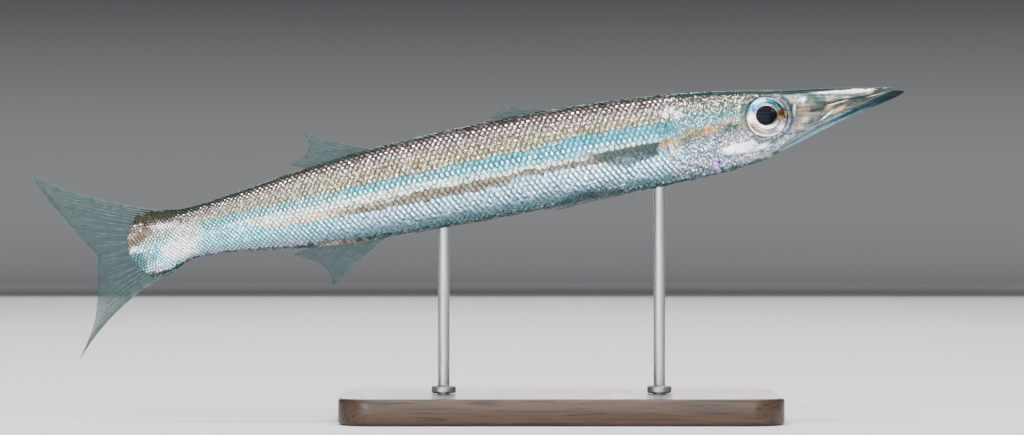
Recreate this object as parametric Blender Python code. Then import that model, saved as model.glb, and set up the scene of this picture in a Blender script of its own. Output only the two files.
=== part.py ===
"""A life-size display model of a slender barracuda, held nose-up by two short rods on a flat base.

The fish is modelled in its own frame and hung on one empty. In that frame the origin is the tip of the
lower jaw, x runs forward, so the body lies at negative x, y is to the fish's left and z is towards its back.
A length along the fish is given as the distance behind the tip of the lower jaw.
"""

import math

import bmesh
import bpy
from mathutils import Vector

MM = 0.001
GAP = 0.3 * MM

# How the fish hangs over the base
PITCH = math.radians(11.5)
JAW_TIP = Vector((118.0, 0.0, 112.2)) * MM

# The body, in mm: distance behind the jaw tip, height of the back, of the belly, and half the width
BODY = (
    (0.0, 1.1, -0.1, 0.7),
    (4.0, 2.8, -1.3, 1.6),
    (14.0, 4.9, -3.4, 2.9),
    (28.0, 7.4, -6.6, 4.5),
    (41.0, 9.4, -10.2, 6.2),
    (55.0, 12.1, -13.4, 7.9),
    (69.0, 14.4, -14.7, 9.5),
    (96.0, 17.3, -15.0, 11.5),
    (137.0, 18.9, -14.6, 12.2),
    (178.0, 17.9, -13.5, 11.0),
    (206.0, 15.7, -12.0, 9.1),
    (233.0, 12.1, -8.2, 6.0),
    (250.0, 10.4, -7.1, 3.6),
    (258.3, 11.3, -9.9, 1.7),
)
# How square the section is above and below its widest line: 2 is an ellipse
SQUARENESS = (
    (0.0, 2.2, 2.0),
    (28.0, 2.6, 2.1),
    (48.0, 3.6, 2.1),
    (66.0, 2.9, 2.2),
    (96.0, 2.3, 2.3),
    (178.0, 2.1, 2.2),
    (258.3, 2.0, 2.0),
)
HEAD_END = 84.5
TORSO_SPLIT = 150.0
STALK_START = 206.0
BODY_END = 258.3
RING_POINTS = 36
RING_STEP = 4.8

# The jaws, in mm
UPPER_JAW_TIP = 3.7
MOUTH_LINE = ((0.0, 1.9), (3.7, 1.9), (14.0, -0.35), (31.9, -4.3), (46.5, -9.9))
GAPE = 31.9
JAW_END = 46.0
MOUTH_SLIT = 0.34
MOUTH_SLIT_AT_TIP = 0.55
LEDGE_HEIGHT = 1.45
LEDGE_STEP = 0.45
LOWER_POINTS = 6
UPPER_POINTS = 9
LIP = 0.22

# Gill covers, in mm and degrees: a rounded plate that leans back towards its top
GILL_LOW = -66.0
GILL_HIGH = 38.0
GILL_MIDDLE = 65.5
GILL_LEAN = 7.5
GILL_HALF = 11.6
GILL_ROUND = 2.6
GILL_LEAST = 0.36
GILL_THICK = 0.9
GILL_LIFT = 0.5
GILL_STEPS = 12

# Eyes and nostrils, in mm
EYE_AT = (47.9, 1.9)
EYE_RADIUS = 7.5
EYE_DOME = 1.9
EYE_DEPTH = 3.4
EYE_UPWARD = math.radians(5.0)
ORBIT_WIDTH = 1.5
EYE_STEPS = 28
NOSTRILS = ((35.9, 5.4, 0.55), (37.6, 5.9, 0.42))

# The stand, in mm
BASE_LENGTH = 150.0
BASE_WIDTH = 76.0
BASE_THICK = 9.0
BASE_CORNER = 12.0
BASE_EDGE = 1.2
ROD_RADIUS = 2.0
ROD_SINK = 5.0
RODS = {"stand_rod_front": 34.0, "stand_rod_rear": -40.0}
COLLAR_RADIUS = 4.2
COLLAR_HEIGHT = 2.4
ROD_BELOW_JAW = 30.0

# Fins, in mm: thickness of the web and of the rays where they leave the body and where they end
WEB = 0.5
RAY_ROOT = 1.1
RAY_TIP = 0.68
FIN_STATIONS = 7
SIDE_FIN_OFF = 0.85
FLANK_RADIUS = 13.0


def clear_scene():
    for obj in list(bpy.data.objects):
        bpy.data.objects.remove(obj, do_unlink=True)


def through(table, at, column):
    """A smooth value read between the rows of a table, by the slopes of the neighbouring rows."""
    if at <= table[0][0]:
        return table[0][column]
    if at >= table[-1][0]:
        return table[-1][column]
    i = next(k for k in range(len(table) - 1) if table[k][0] <= at <= table[k + 1][0])

    def slope(k):
        low, high = max(k - 1, 0), min(k + 1, len(table) - 1)
        return (table[high][column] - table[low][column]) / (table[high][0] - table[low][0])

    width = table[i + 1][0] - table[i][0]
    t = (at - table[i][0]) / width
    return (
        table[i][column] * (1 + 2 * t) * (1 - t) ** 2
        + slope(i) * width * t * (1 - t) ** 2
        + table[i + 1][column] * t * t * (3 - 2 * t)
        - slope(i + 1) * width * t * t * (1 - t)
    )


def straight(table, at):
    """A value read along straight lines between the rows of a table."""
    for (low, value), (high, next_value) in zip(table, table[1:]):
        if at <= high:
            return value + (next_value - value) * (at - low) / (high - low)
    return table[-1][1]


def smooth_step(low, high, value):
    t = min(max((value - low) / (high - low), 0.0), 1.0)
    return t * t * (3 - 2 * t)


def section(at):
    """Top, bottom, half width, level of the widest line, and squareness above and below it, in mm."""
    top, bottom, half = (through(BODY, at, k) for k in (1, 2, 3))
    return top, bottom, half, (top + bottom) / 2, through(SQUARENESS, at, 1), through(SQUARENESS, at, 2)


def skin(at, angle, offset=0.0):
    """A point of the body's surface in the fish's frame. The angle is 0 on the left and 90 on the back."""
    top, bottom, half, level, square_up, square_down = section(at)
    across, up = math.cos(angle), math.sin(angle)
    reach, power = (top - level, square_up) if up >= 0 else (level - bottom, square_down)
    radius = (abs(across / half) ** power + abs(up / reach) ** power) ** (-1 / power)
    y, z = radius * across, radius * up
    normal_y = math.copysign(abs(y / half) ** (power - 1) / half, y)
    normal_z = math.copysign(abs(z / reach) ** (power - 1) / reach, z)
    length = math.hypot(normal_y, normal_z)
    return Vector((-at, y + offset * normal_y / length, level + z + offset * normal_z / length)) * MM


def angle_at_height(at, height):
    """The angle at which the left side of the body has that height, in mm."""
    low, high = -math.pi / 2, math.pi / 2
    for _ in range(40):
        middle = (low + high) / 2
        if skin(at, middle).z < height * MM:
            low = middle
        else:
            high = middle
    return (low + high) / 2


def spaced(start, end, step):
    count = max(2, math.ceil((end - start) / step))
    return [start + (end - start) * k / count for k in range(count + 1)]


def new_object(name, mesh, material, parent=None):
    obj = bpy.data.objects.new(name, mesh)
    bpy.context.scene.collection.objects.link(obj)
    obj.parent = parent
    if material:
        mesh.materials.append(material)
    return obj


def shaded(mesh, angle=35.0):
    mesh.shade_smooth()
    mesh.set_sharp_from_angle(angle=math.radians(angle))
    return mesh


def ring_mesh(name, rings):
    """A closed skin over rings of as many points each, with a flat face at both ends."""
    bm = bmesh.new()
    rows = [[bm.verts.new(p) for p in ring] for ring in rings]
    count = len(rows[0])
    for low, high in zip(rows, rows[1:]):
        for k in range(count):
            n = (k + 1) % count
            bm.faces.new((low[k], low[n], high[n], high[k]))
    bm.faces.new(rows[0])
    bm.faces.new(rows[-1])
    return finished(bm, name)


def finished(bm, name):
    """The mesh in triangles, so that every cut meets the same faces, with its faces pointing out."""
    bmesh.ops.recalc_face_normals(bm, faces=bm.faces[:])
    bmesh.ops.triangulate(bm, faces=bm.faces[:])
    mesh = bpy.data.meshes.new(name)
    bm.to_mesh(mesh)
    bm.free()
    return shaded(mesh)


def turned(name, profile, steps):
    """A closed turned solid about +X, from (distance along, radius) pairs that start and end on the axis."""
    bm = bmesh.new()
    first = bm.verts.new((profile[0][0], 0, 0))
    last = bm.verts.new((profile[-1][0], 0, 0))
    rings = []
    for along, radius in profile[1:-1]:
        turn = [2 * math.pi * k / steps for k in range(steps)]
        rings.append([bm.verts.new((along, radius * math.cos(t), radius * math.sin(t))) for t in turn])
    for low, high in zip(rings, rings[1:]):
        for k in range(steps):
            n = (k + 1) % steps
            bm.faces.new((low[k], low[n], high[n], high[k]))
    for k in range(steps):
        n = (k + 1) % steps
        bm.faces.new((first, rings[0][n], rings[0][k]))
        bm.faces.new((last, rings[-1][k], rings[-1][n]))
    return finished(bm, name)


def finish(name, colour, metallic, roughness):
    material = bpy.data.materials.new(name)
    material.use_nodes = True
    shader = material.node_tree.nodes["Principled BSDF"]
    shader.inputs["Base Color"].default_value = (*colour, 1.0)
    shader.inputs["Metallic"].default_value = metallic
    shader.inputs["Roughness"].default_value = roughness
    return material


def as_cutter(obj):
    obj.hide_render = True
    obj.display_type = "WIRE"
    return obj


def boolean(obj, name, others, operation="DIFFERENCE"):
    """One Boolean on a collection of closed helper objects, which stay hidden."""
    group = bpy.data.collections.new(name)
    for other in others:
        group.objects.link(as_cutter(other))
    modifier = obj.modifiers.new(name, "BOOLEAN")
    modifier.operation = operation
    modifier.solver = "EXACT"
    modifier.operand_type = "COLLECTION"
    modifier.collection = group


def body_rings(start, end, offset=0.0):
    angles = [2 * math.pi * (k + 0.5) / RING_POINTS for k in range(RING_POINTS)]
    return [[skin(at, angle, offset) for angle in angles] for at in spaced(start, end, RING_STEP)]


def make_body(fish, silver):
    """The trunk in three lengths, each ending on a flat face."""
    lengths = {
        "torso_front": (HEAD_END + 0.3, TORSO_SPLIT),
        "torso_rear": (TORSO_SPLIT + 0.3, STALK_START),
        "tail_stalk": (STALK_START + 0.3, BODY_END),
    }
    for name, (start, end) in lengths.items():
        new_object(name, ring_mesh(name, body_rings(start, end)), silver, fish)


def mouth_opening(at):
    return MOUTH_SLIT + (MOUTH_SLIT_AT_TIP - MOUTH_SLIT) * (1 - smooth_step(UPPER_JAW_TIP, GAPE, at))


def upper_edge_angle(at):
    """Where the head's side ends at the mouth, or nearly at the bottom behind the jaw."""
    lowest = math.radians(-86)
    if at > JAW_END + 0.5:
        return lowest
    edge = straight(MOUTH_LINE, at) + mouth_opening(at) / 2
    return max(lowest, angle_at_height(at, edge))


def head_ring(at):
    """One ring of the head: the roof of the mouth is flat, and the cheek bone's ledge stands over the jaw."""
    edge = upper_edge_angle(at)
    ledge_height = max(LEDGE_HEIGHT, straight(MOUTH_LINE, at) + 0.7)
    ledge = max(angle_at_height(at, ledge_height), edge + math.radians(9))
    bare = smooth_step(6, 10, at) * (1 - smooth_step(GAPE - 1.5, GAPE + 0.8, at))
    step = LEDGE_STEP * bare
    brink = ledge - math.radians(2.5)
    half = [(edge + (brink - edge) * k / LOWER_POINTS, -0.5 * step) for k in range(LOWER_POINTS)]
    half.append((brink, -step))
    start = ledge + math.radians(1.0)
    climb = math.pi / 2 - start
    half += [(start + climb * k / UPPER_POINTS, 0.0) for k in range(UPPER_POINTS + 1)]
    left = [skin(at, angle, offset) for angle, offset in half]
    right = [Vector((p.x, -p.y, p.z)) for p in reversed(left[:-1])]
    roof = Vector((left[0].x, 0, left[0].z))
    return left + right + [roof]


def make_head(fish, silver):
    stations = [UPPER_JAW_TIP, 4.3, 5.4, 7.0] + spaced(9.0, 30.0, 2.1)
    stations += [31.2, 31.9, 32.7, 34.5] + spaced(36.5, JAW_END + 0.4, 2.0)
    stations += spaced(JAW_END + 1.3, HEAD_END, 2.9)
    rings = [head_ring(at) for at in stations]
    centre = sum(rings[0], Vector()) / len(rings[0])
    rings[0] = [centre + (p - centre) * 0.6 for p in rings[0]]
    return new_object("head", ring_mesh("head", rings), silver, fish)


def jaw_ring(at):
    """One ring of the lower jaw, open side up, with a lip along its edge."""
    edge_height = straight(MOUTH_LINE, at) - mouth_opening(at) / 2
    if at < UPPER_JAW_TIP:
        edge_height = 1.0 + 0.55 * smooth_step(0.0, UPPER_JAW_TIP, at)
    edge = angle_at_height(at, edge_height)
    bottom = -math.pi / 2
    lip = LIP * smooth_step(1.0, 6.0, at) * (1 - smooth_step(GAPE, JAW_END - 3, at))
    sweep = (0.0, 0.14, 0.24, 0.42, 0.62, 0.81, 1.0)
    rise = (1.0, 1.0, 0.0, 0.0, 0.0, 0.0, 0.0)
    left = [skin(at, edge + (bottom - edge) * t, lip * r) for t, r in zip(sweep, rise)]
    right = [Vector((p.x, -p.y, p.z)) for p in reversed(left[:-1])]
    floor = Vector((left[0].x, 0, left[0].z))
    return left + right + [floor]


def make_lower_jaw(fish, silver):
    stations = [0.0, 0.5, 1.4, 2.6, UPPER_JAW_TIP] + spaced(5.5, GAPE, 2.9)
    stations += spaced(34.5, JAW_END, 2.5)
    rings = [jaw_ring(at) for at in stations]
    centre = sum(rings[0], Vector()) / len(rings[0])
    rings[0] = [centre + (p - centre) * 0.55 for p in rings[0]]
    return new_object("lower_jaw", ring_mesh("lower_jaw", rings), silver, fish)


def gill_edges(share):
    """Front and rear edge of the gill cover at a share of the way up, as distances behind the jaw tip."""
    middle = GILL_MIDDLE + GILL_LEAN * share**0.6
    fullness = max(GILL_LEAST, (1 - abs(2 * share - 1) ** GILL_ROUND) ** (1 / GILL_ROUND))
    return middle - GILL_HALF * fullness, middle + GILL_HALF * fullness


def gill_patch(side, grow, inner, outer_front, outer_rear):
    """A closed plate over the gill chamber, between two offsets from the skin, its rim moved out by grow."""
    bm = bmesh.new()
    steps = GILL_STEPS
    layers = []
    for is_outer in (False, True):
        grid = []
        for i in range(steps + 1):
            share = i / steps
            angle = math.radians(GILL_LOW + (GILL_HIGH - GILL_LOW) * share)
            angle += (2 * share - 1) * grow / through(BODY, 70.0, 3)
            front, rear = gill_edges(share)
            front, rear = front - grow, rear + grow
            row = []
            for j in range(steps + 1):
                along = j / steps
                at = front + (rear - front) * along
                offset = outer_front + (outer_rear - outer_front) * along**2 if is_outer else inner
                point = skin(at, angle, offset)
                row.append(bm.verts.new((point.x, side * point.y, point.z)))
            grid.append(row)
        layers.append(grid)
    low, high = layers
    for i in range(steps):
        for j in range(steps):
            for grid in layers:
                corners = (grid[i][j], grid[i][j + 1], grid[i + 1][j + 1], grid[i + 1][j])
                bm.faces.new((corners[0], corners[1], corners[2]))
                bm.faces.new((corners[0], corners[2], corners[3]))
    for k in range(steps):
        bm.faces.new((low[0][k], low[0][k + 1], high[0][k + 1], high[0][k]))
        bm.faces.new((low[-1][k], low[-1][k + 1], high[-1][k + 1], high[-1][k]))
        bm.faces.new((low[k][0], low[k + 1][0], high[k + 1][0], high[k][0]))
        bm.faces.new((low[k][-1], low[k + 1][-1], high[k + 1][-1], high[k][-1]))
    return bm


def make_gill_cover(fish, name, side, silver):
    """The plate, and the room that it takes out of the head."""
    plate = finished(gill_patch(side, 0.0, -GILL_THICK, 0.05, GILL_LIFT), name)
    new_object(name, plate, silver, fish)
    room = finished(gill_patch(side, 0.3, -GILL_THICK - 0.3, 2.5, 2.5), name + "_room")
    return new_object(name + "_room", room, None, fish)


def eye_frame(side):
    """Where the eye sits on the head's side, and which way it looks."""
    at, height = EYE_AT
    angle = angle_at_height(at, height)
    seat = skin(at, angle)
    ahead, behind = skin(at - 6, angle), skin(at + 6, angle)
    forward = (ahead - behind).normalized()
    look = Vector((0, 1, 0)) - forward * forward.y
    look = Vector((look.x, look.y * math.cos(EYE_UPWARD), math.sin(EYE_UPWARD))).normalized()
    seat.y *= side
    look.y *= side
    return seat, look


def eye_profile(grow, front):
    """The eyeball's turned outline: a dome in front, a tapered back. grow moves it outwards."""
    rim = EYE_RADIUS * MM + grow
    back = EYE_DEPTH * MM + grow
    dome = [(front * math.cos(t), rim * math.sin(t)) for t in (0, 0.28, 0.56, 0.84, 1.12, 1.4)]
    return dome + [(-0.4 * MM, rim), (-0.6 * back, 0.92 * rim), (-back, 0.7 * rim), (-back, 0)]


def make_eye(fish, name, side, glassy):
    """The eyeball, with the raised rim and the socket that it has in the head."""
    seat, look = eye_frame(side)
    turn = look.to_track_quat("X", "Z")
    inward = look * (0.9 * MM)

    ball = new_object(name, turned(name, eye_profile(0, EYE_DOME * MM), EYE_STEPS), glassy, fish)
    rim = [
        (1.05 * MM, 0.0),
        (1.05 * MM, (EYE_RADIUS + 0.35) * MM),
        (0.75 * MM, (EYE_RADIUS + 0.9) * MM),
        (-0.6 * MM, (EYE_RADIUS + ORBIT_WIDTH) * MM),
        (-2.6 * MM, (EYE_RADIUS + 0.9) * MM),
        (-2.6 * MM, 0.0),
    ]
    orbit = new_object(name + "_orbit", turned(name + "_orbit", rim, EYE_STEPS), None, fish)
    socket_mesh = turned(name + "_socket", eye_profile(GAP, 12 * MM), EYE_STEPS)
    socket = new_object(name + "_socket", socket_mesh, None, fish)
    for obj in (ball, orbit, socket):
        obj.location = seat - inward
        obj.rotation_mode = "QUATERNION"
        obj.rotation_quaternion = turn
    return orbit, socket


def make_nostrils(fish):
    """Two small pits on each side, ahead of the eye."""
    pits = []
    for side in (1, -1):
        for k, (at, height, radius) in enumerate(NOSTRILS):
            place = skin(at, angle_at_height(at, height))
            name = f"nostril_{'left' if side > 0 else 'right'}_{k}"
            bm = bmesh.new()
            bmesh.ops.create_uvsphere(bm, u_segments=8, v_segments=6, radius=radius * MM)
            pit = new_object(name, finished(bm, name), None, fish)
            pit.location = (place.x, side * place.y, place.z)
            pits.append(pit)
    return pits


def fin_solid(name, rays, normal):
    """A fin from its rays. Each ray is a list of points from root to tip, and between two rays a web is set.

    normal(point) gives the way through the fin. Both faces are split into the same triangles.
    """
    columns = []
    for k, ray in enumerate(rays):
        columns.append((ray, True))
        if k + 1 < len(rays):
            columns.append(([(p + q) / 2 for p, q in zip(ray, rays[k + 1])], False))
    bm = bmesh.new()
    faces = {1: [], -1: []}
    for points, is_ray in columns:
        count = len(points)
        for side in (1, -1):
            row = []
            for j, point in enumerate(points):
                along = j / (count - 1)
                thick = WEB
                if is_ray:
                    thick = RAY_ROOT + (RAY_TIP - RAY_ROOT) * along
                row.append(bm.verts.new(point + normal(point) * (side * thick * MM / 2)))
            faces[side].append(row)
    across, along = len(columns), len(columns[0][0])
    for side in (1, -1):
        grid = faces[side]
        for i in range(across - 1):
            for j in range(along - 1):
                a, b = grid[i][j], grid[i + 1][j]
                c, d = grid[i + 1][j + 1], grid[i][j + 1]
                bm.faces.new((a, b, c))
                bm.faces.new((a, c, d))
    front, back = faces[1], faces[-1]
    for i in range(across - 1):
        bm.faces.new((front[i][0], front[i + 1][0], back[i + 1][0], back[i][0]))
        bm.faces.new((front[i][-1], front[i + 1][-1], back[i + 1][-1], back[i][-1]))
    for j in range(along - 1):
        bm.faces.new((front[0][j], front[0][j + 1], back[0][j + 1], back[0][j]))
        bm.faces.new((front[-1][j], front[-1][j + 1], back[-1][j + 1], back[-1][j]))
    return finished(bm, name)


def bent_line(root, tip, bow, count=FIN_STATIONS):
    """Points from root to tip, bowed sideways by bow as a share of the length."""
    way = tip - root
    sideways = Vector((-way.z, 0, way.x))
    return [
        root + way * t + sideways * (4 * bow * t * (1 - t))
        for t in (k / (count - 1) for k in range(count))
    ]


def middle_fin(name, roots, tips, bow, fish, material):
    """A fin in the fish's mid plane, from matching lists of ray roots and tips."""
    rays = [bent_line(root, tip, bow) for root, tip in zip(roots, tips)]
    mesh = fin_solid(name, rays, lambda point: Vector((0, 1, 0)))
    return new_object(name, mesh, material, fish)


def on_curve(points, t):
    """A point at share t along a smooth line through the given (distance behind, height) pairs."""
    table = [(k / (len(points) - 1), *p) for k, p in enumerate(points)]
    return Vector((-through(table, t, 1), 0, through(table, t, 2))) * MM


def make_back_and_belly_fins(fish, web):
    """The folded spiny fin, the soft second back fin and the anal fin."""
    spiny_tips = ((133.6, 22.6), (136.6, 21.9), (139.2, 20.9), (141.0, 19.8))
    soft_tips = ((204.8, 27.6), (203.6, 23.4), (206.0, 19.9), (211.5, 17.7))
    anal_tips = ((205.5, -26.0), (205.6, -21.6), (208.6, -17.0), (216.5, -12.6))
    fins = {
        # name: edge (+1 back, -1 belly), rays, first and last root, outline of the tips
        "fin_first_dorsal": (1, 5, 117.0, 126.0, spiny_tips),
        "fin_second_dorsal": (1, 10, 181.5, 203.5, soft_tips),
        "fin_anal": (-1, 10, 183.0, 205.0, anal_tips),
    }
    for name, (edge, count, first, last, outline) in fins.items():
        roots, tips = [], []
        for k in range(count):
            share = k / (count - 1)
            at = first + (last - first) * share
            height = through(BODY, at, 1 if edge > 0 else 2)
            roots.append(Vector((-at, 0, height + edge * 0.35)) * MM)
            tips.append(on_curve(outline, share))
        middle_fin(name, roots, tips, 0.02 * edge, fish, web)


def make_tail_fin(fish, web):
    """The forked tail fin, a lobe above and a lobe below."""
    root_at = BODY_END + 0.35
    upper_tips = ((299.9, 32.3), (296.8, 25.6), (291.4, 15.6), (282.6, 0.75))
    lower_tips = ((295.4, -33.1), (288.5, -22.5), (285.0, -12.0), (282.6, 0.35))
    lobes = {
        "fin_tail_upper": (11.0, 0.85, upper_tips, 0.045),
        "fin_tail_lower": (-9.5, 0.5, lower_tips, -0.075),
    }
    for name, (outer, inner, outline, bow) in lobes.items():
        count = 9
        rays = []
        for k in range(count):
            share = k / (count - 1)
            root = Vector((-root_at, 0, outer + (inner - outer) * share)) * MM
            rays.append(bent_line(root, on_curve(outline, share), bow * (1 - share) ** 2))
        mesh = fin_solid(name, rays, lambda point: Vector((0, 1, 0)))
        new_object(name, mesh, web, fish)


def side_fin(name, side, rays_at, fish, web):
    """A paired fin that lies along the skin. rays_at(share, t) gives (distance behind, angle, stand-off)."""
    count = rays_at.count
    rays = []
    for k in range(count):
        ray = []
        for j in range(FIN_STATIONS):
            at, angle, off = rays_at(k / (count - 1), j / (FIN_STATIONS - 1))
            point = skin(at, angle, off)
            ray.append(Vector((point.x, side * point.y, point.z)))
        rays.append(ray)

    def outward(point):
        at = -point.x / MM
        level = section(at)[3] * MM
        angle = math.atan2(point.z - level, abs(point.y))
        way = skin(at, angle, 1.0) - skin(at, angle)
        return Vector((0, side * way.y, way.z)).normalized()

    new_object(name, fin_solid(name, rays, outward), web, fish)


def pectoral_ray(share, t):
    """The pectoral fin is folded back along the flank from a short root behind the gill cover."""
    root_at = 86.2 + 1.2 * share
    root_angle = math.radians(-4 - 20 * share)
    length = 24.0 * (1 - 0.5 * share**1.2)
    droop = math.radians(1 + 10 * share)
    at = root_at + length * t * math.cos(droop)
    down = length * t * math.sin(droop)
    return at, root_angle - down / FLANK_RADIUS, SIDE_FIN_OFF + 1.5 * t * t


pectoral_ray.count = 11


def pelvic_ray(share, t):
    """The pelvic fin is folded back along the belly."""
    root_at = 99.5 + 1.8 * share
    root_angle = math.radians(-80 + 17 * share)
    length = 26.5 - 9.5 * share
    spread = math.radians(2 + 5 * share)
    at = root_at + length * t * math.cos(spread)
    up = length * t * math.sin(spread)
    return at, root_angle + up / FLANK_RADIUS, SIDE_FIN_OFF + 1.3 * t * t


pelvic_ray.count = 6


def make_paired_fins(fish, web):
    for word, side in (("left", 1), ("right", -1)):
        side_fin(f"fin_pectoral_{word}", side, pectoral_ray, fish, web)
        side_fin(f"fin_pelvic_{word}", side, pelvic_ray, fish, web)


def rounded_plate(name, length, width, corner, low, high, steps=7):
    """An upright plate with round corners, standing between two heights."""
    outline = []
    for cx, cy, start in ((1, 1, 0), (-1, 1, 90), (-1, -1, 180), (1, -1, 270)):
        for k in range(steps + 1):
            turn = math.radians(start + 90 * k / steps)
            x = cx * (length / 2 - corner) + corner * math.cos(turn)
            y = cy * (width / 2 - corner) + corner * math.sin(turn)
            outline.append((x, y))
    bm = bmesh.new()
    floor = bm.faces.new([bm.verts.new((x * MM, y * MM, low * MM)) for x, y in outline])
    lifted = bmesh.ops.extrude_face_region(bm, geom=[floor])
    rise = [v for v in lifted["geom"] if isinstance(v, bmesh.types.BMVert)]
    bmesh.ops.translate(bm, vec=(0, 0, (high - low) * MM), verts=rise)
    return finished(bm, name)


def upright(name, x, profile, steps=16):
    """A turned piece that stands on the base at x, from (height, radius) pairs."""
    mesh = turned(name, profile, steps)
    for vertex in mesh.vertices:
        vertex.co = Vector((x - vertex.co.z, vertex.co.y, vertex.co.x))
    return mesh


def make_stand(fish, steel, wood):
    """A flat base, drilled for two rods with collars, whose tops are shaped to the belly."""
    plate = rounded_plate("stand_base", BASE_LENGTH, BASE_WIDTH, BASE_CORNER, 0, BASE_THICK)
    base = new_object("stand_base", plate, wood)
    bevel = base.modifiers.new("edge", "BEVEL")
    bevel.width = BASE_EDGE * MM
    bevel.segments = 2
    bevel.limit_method = "ANGLE"
    bevel.angle_limit = math.radians(40)
    bevel.harden_normals = True

    belly_mesh = ring_mesh("belly_room", body_rings(HEAD_END - 10, STALK_START - 10, 0.3))
    belly = new_object("belly_room", belly_mesh, None, fish)
    foot = (BASE_THICK - ROD_SINK) * MM
    seat = BASE_THICK * MM + GAP
    collar = seat + COLLAR_HEIGHT * MM
    top = JAW_TIP.z - ROD_BELOW_JAW * MM
    radius, flange, bore = ROD_RADIUS * MM, COLLAR_RADIUS * MM, ROD_RADIUS * MM + GAP
    profile = [(foot, 0), (foot, radius), (seat, radius), (seat, flange)]
    profile += [(collar, flange), (collar, radius), (top, radius), (top, 0)]
    drill = [(foot - GAP, 0), (foot - GAP, bore), (2 * seat, bore), (2 * seat, 0)]
    drills = []
    for name, x in RODS.items():
        rod = new_object(name, upright(name, x * MM, profile), steel)
        boolean(rod, name + "_top", [belly])
        drills.append(new_object(name + "_drill", upright(name + "_drill", x * MM, drill), None))
    boolean(base, "rod_holes", drills)


def main():
    clear_scene()
    silver = finish("silver_skin", (0.62, 0.66, 0.66), 0.7, 0.3)
    web = finish("fin_web", (0.36, 0.47, 0.46), 0.1, 0.4)
    glassy = finish("eye", (0.55, 0.62, 0.62), 0.5, 0.15)
    steel = finish("stand_steel", (0.55, 0.56, 0.57), 1.0, 0.3)
    wood = finish("stand_wood", (0.09, 0.05, 0.03), 0.0, 0.4)

    fish = bpy.data.objects.new("fish_frame", None)
    bpy.context.scene.collection.objects.link(fish)
    fish.location = JAW_TIP
    fish.rotation_euler = (0, -PITCH, 0)

    make_body(fish, silver)
    head = make_head(fish, silver)
    make_lower_jaw(fish, silver)
    rims, hollows = [], make_nostrils(fish)
    for word, side in (("left", 1), ("right", -1)):
        rim, socket = make_eye(fish, f"eye_{word}", side, glassy)
        rims.append(rim)
        hollows += [socket, make_gill_cover(fish, f"gill_cover_{word}", side, silver)]
    boolean(head, "eye_rims", rims, "UNION")
    boolean(head, "hollows", hollows)
    make_back_and_belly_fins(fish, web)
    make_tail_fin(fish, web)
    make_paired_fins(fish, web)
    make_stand(fish, steel, wood)


main()
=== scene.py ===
import math

import bmesh
import bpy
import numpy as np
from mathutils import Matrix, Vector
from mathutils.bvhtree import BVHTree


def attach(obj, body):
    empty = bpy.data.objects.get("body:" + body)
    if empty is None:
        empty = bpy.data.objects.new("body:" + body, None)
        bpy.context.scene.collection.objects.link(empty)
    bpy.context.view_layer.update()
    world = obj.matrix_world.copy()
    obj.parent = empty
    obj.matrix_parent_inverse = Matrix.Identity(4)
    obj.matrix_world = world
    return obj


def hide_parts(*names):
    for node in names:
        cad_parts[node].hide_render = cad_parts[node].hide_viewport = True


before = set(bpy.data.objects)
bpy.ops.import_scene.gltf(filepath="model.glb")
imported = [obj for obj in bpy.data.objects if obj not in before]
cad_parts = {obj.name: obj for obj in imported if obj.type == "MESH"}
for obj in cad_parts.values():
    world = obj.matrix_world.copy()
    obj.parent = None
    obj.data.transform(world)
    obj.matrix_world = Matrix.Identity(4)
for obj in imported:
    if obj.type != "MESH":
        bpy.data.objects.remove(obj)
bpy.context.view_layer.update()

# The camera looks level at the fish's right side, across 1.2 m, and keeps the photograph's framing.
# The tip of the lower jaw is the point that ties the picture to the model.
FRAME_WIDE, FRAME_HIGH = 1024, 435
PIXEL = 0.0003433
JAW_TIP_PIXEL = (904, 93)
JAW_TIP = np.array([0.118, 0.0, 0.1122])
CAMERA_AWAY = 1.2
SENSOR = 36.0

lens = bpy.data.cameras.new("camera")
lens.sensor_width = SENSOR
lens.lens = SENSOR * CAMERA_AWAY / (FRAME_WIDE * PIXEL)
camera = bpy.data.objects.new("camera", lens)
camera.location = (
    JAW_TIP[0] + (FRAME_WIDE / 2 - JAW_TIP_PIXEL[0]) * PIXEL,
    -CAMERA_AWAY,
    JAW_TIP[2] - (FRAME_HIGH / 2 - JAW_TIP_PIXEL[1]) * PIXEL,
)
camera.rotation_euler = (math.pi / 2, 0, 0)
bpy.context.scene.collection.objects.link(camera)
bpy.context.scene.camera = camera

# The studio is a round sweep: a flat pale floor that curves up into a wall all the way round,
# so that no edge shows from any side. Its wall darkens above the camera's view.
SWEEP_FLOOR = 2.6
SWEEP_BEND = 0.9
SWEEP_HEIGHT = 3.2
SWEEP_DROP = 0.0001
SWEEP_REACH = 4.0
PALE = (0.60, 0.61, 0.62)
SHADE = (0.013, 0.017, 0.022)
# the painted shade of the far floor, where the light falls off
FLOOR_PAINTED_SHADE = (0.22, 0.225, 0.23)


def fill(tree, made, inputs):
    """Sets a node's inputs to values, or links them from sockets."""
    for key, value in inputs.items():
        if isinstance(value, bpy.types.NodeSocket):
            tree.links.new(value, made.inputs[key])
        else:
            made.inputs[key].default_value = value


def put(tree, kind, inputs=None, **settings):
    """A node in a tree, with its settings and its inputs."""
    made = tree.nodes.new(kind)
    for key, value in settings.items():
        setattr(made, key, value)
    fill(tree, made, inputs or {})
    return made


def new_material(name):
    """A material, its node tree and its main shader."""
    material = bpy.data.materials.new(name)
    material.use_nodes = True
    return material, material.node_tree, material.node_tree.nodes["Principled BSDF"]


def ramp(tree, factor, stops, interpolation="LINEAR"):
    """A colour ramp's output, from (place, colour or grey) pairs."""
    made = put(tree, "ShaderNodeValToRGB", {"Fac": factor})
    made.color_ramp.interpolation = interpolation
    while len(made.color_ramp.elements) < len(stops):
        made.color_ramp.elements.new(1.0)
    for element, (place, colour) in zip(made.color_ramp.elements, stops):
        element.position = place
        element.color = (*np.broadcast_to(colour, 3).astype(float), 1)
    return made.outputs["Color"]


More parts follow.
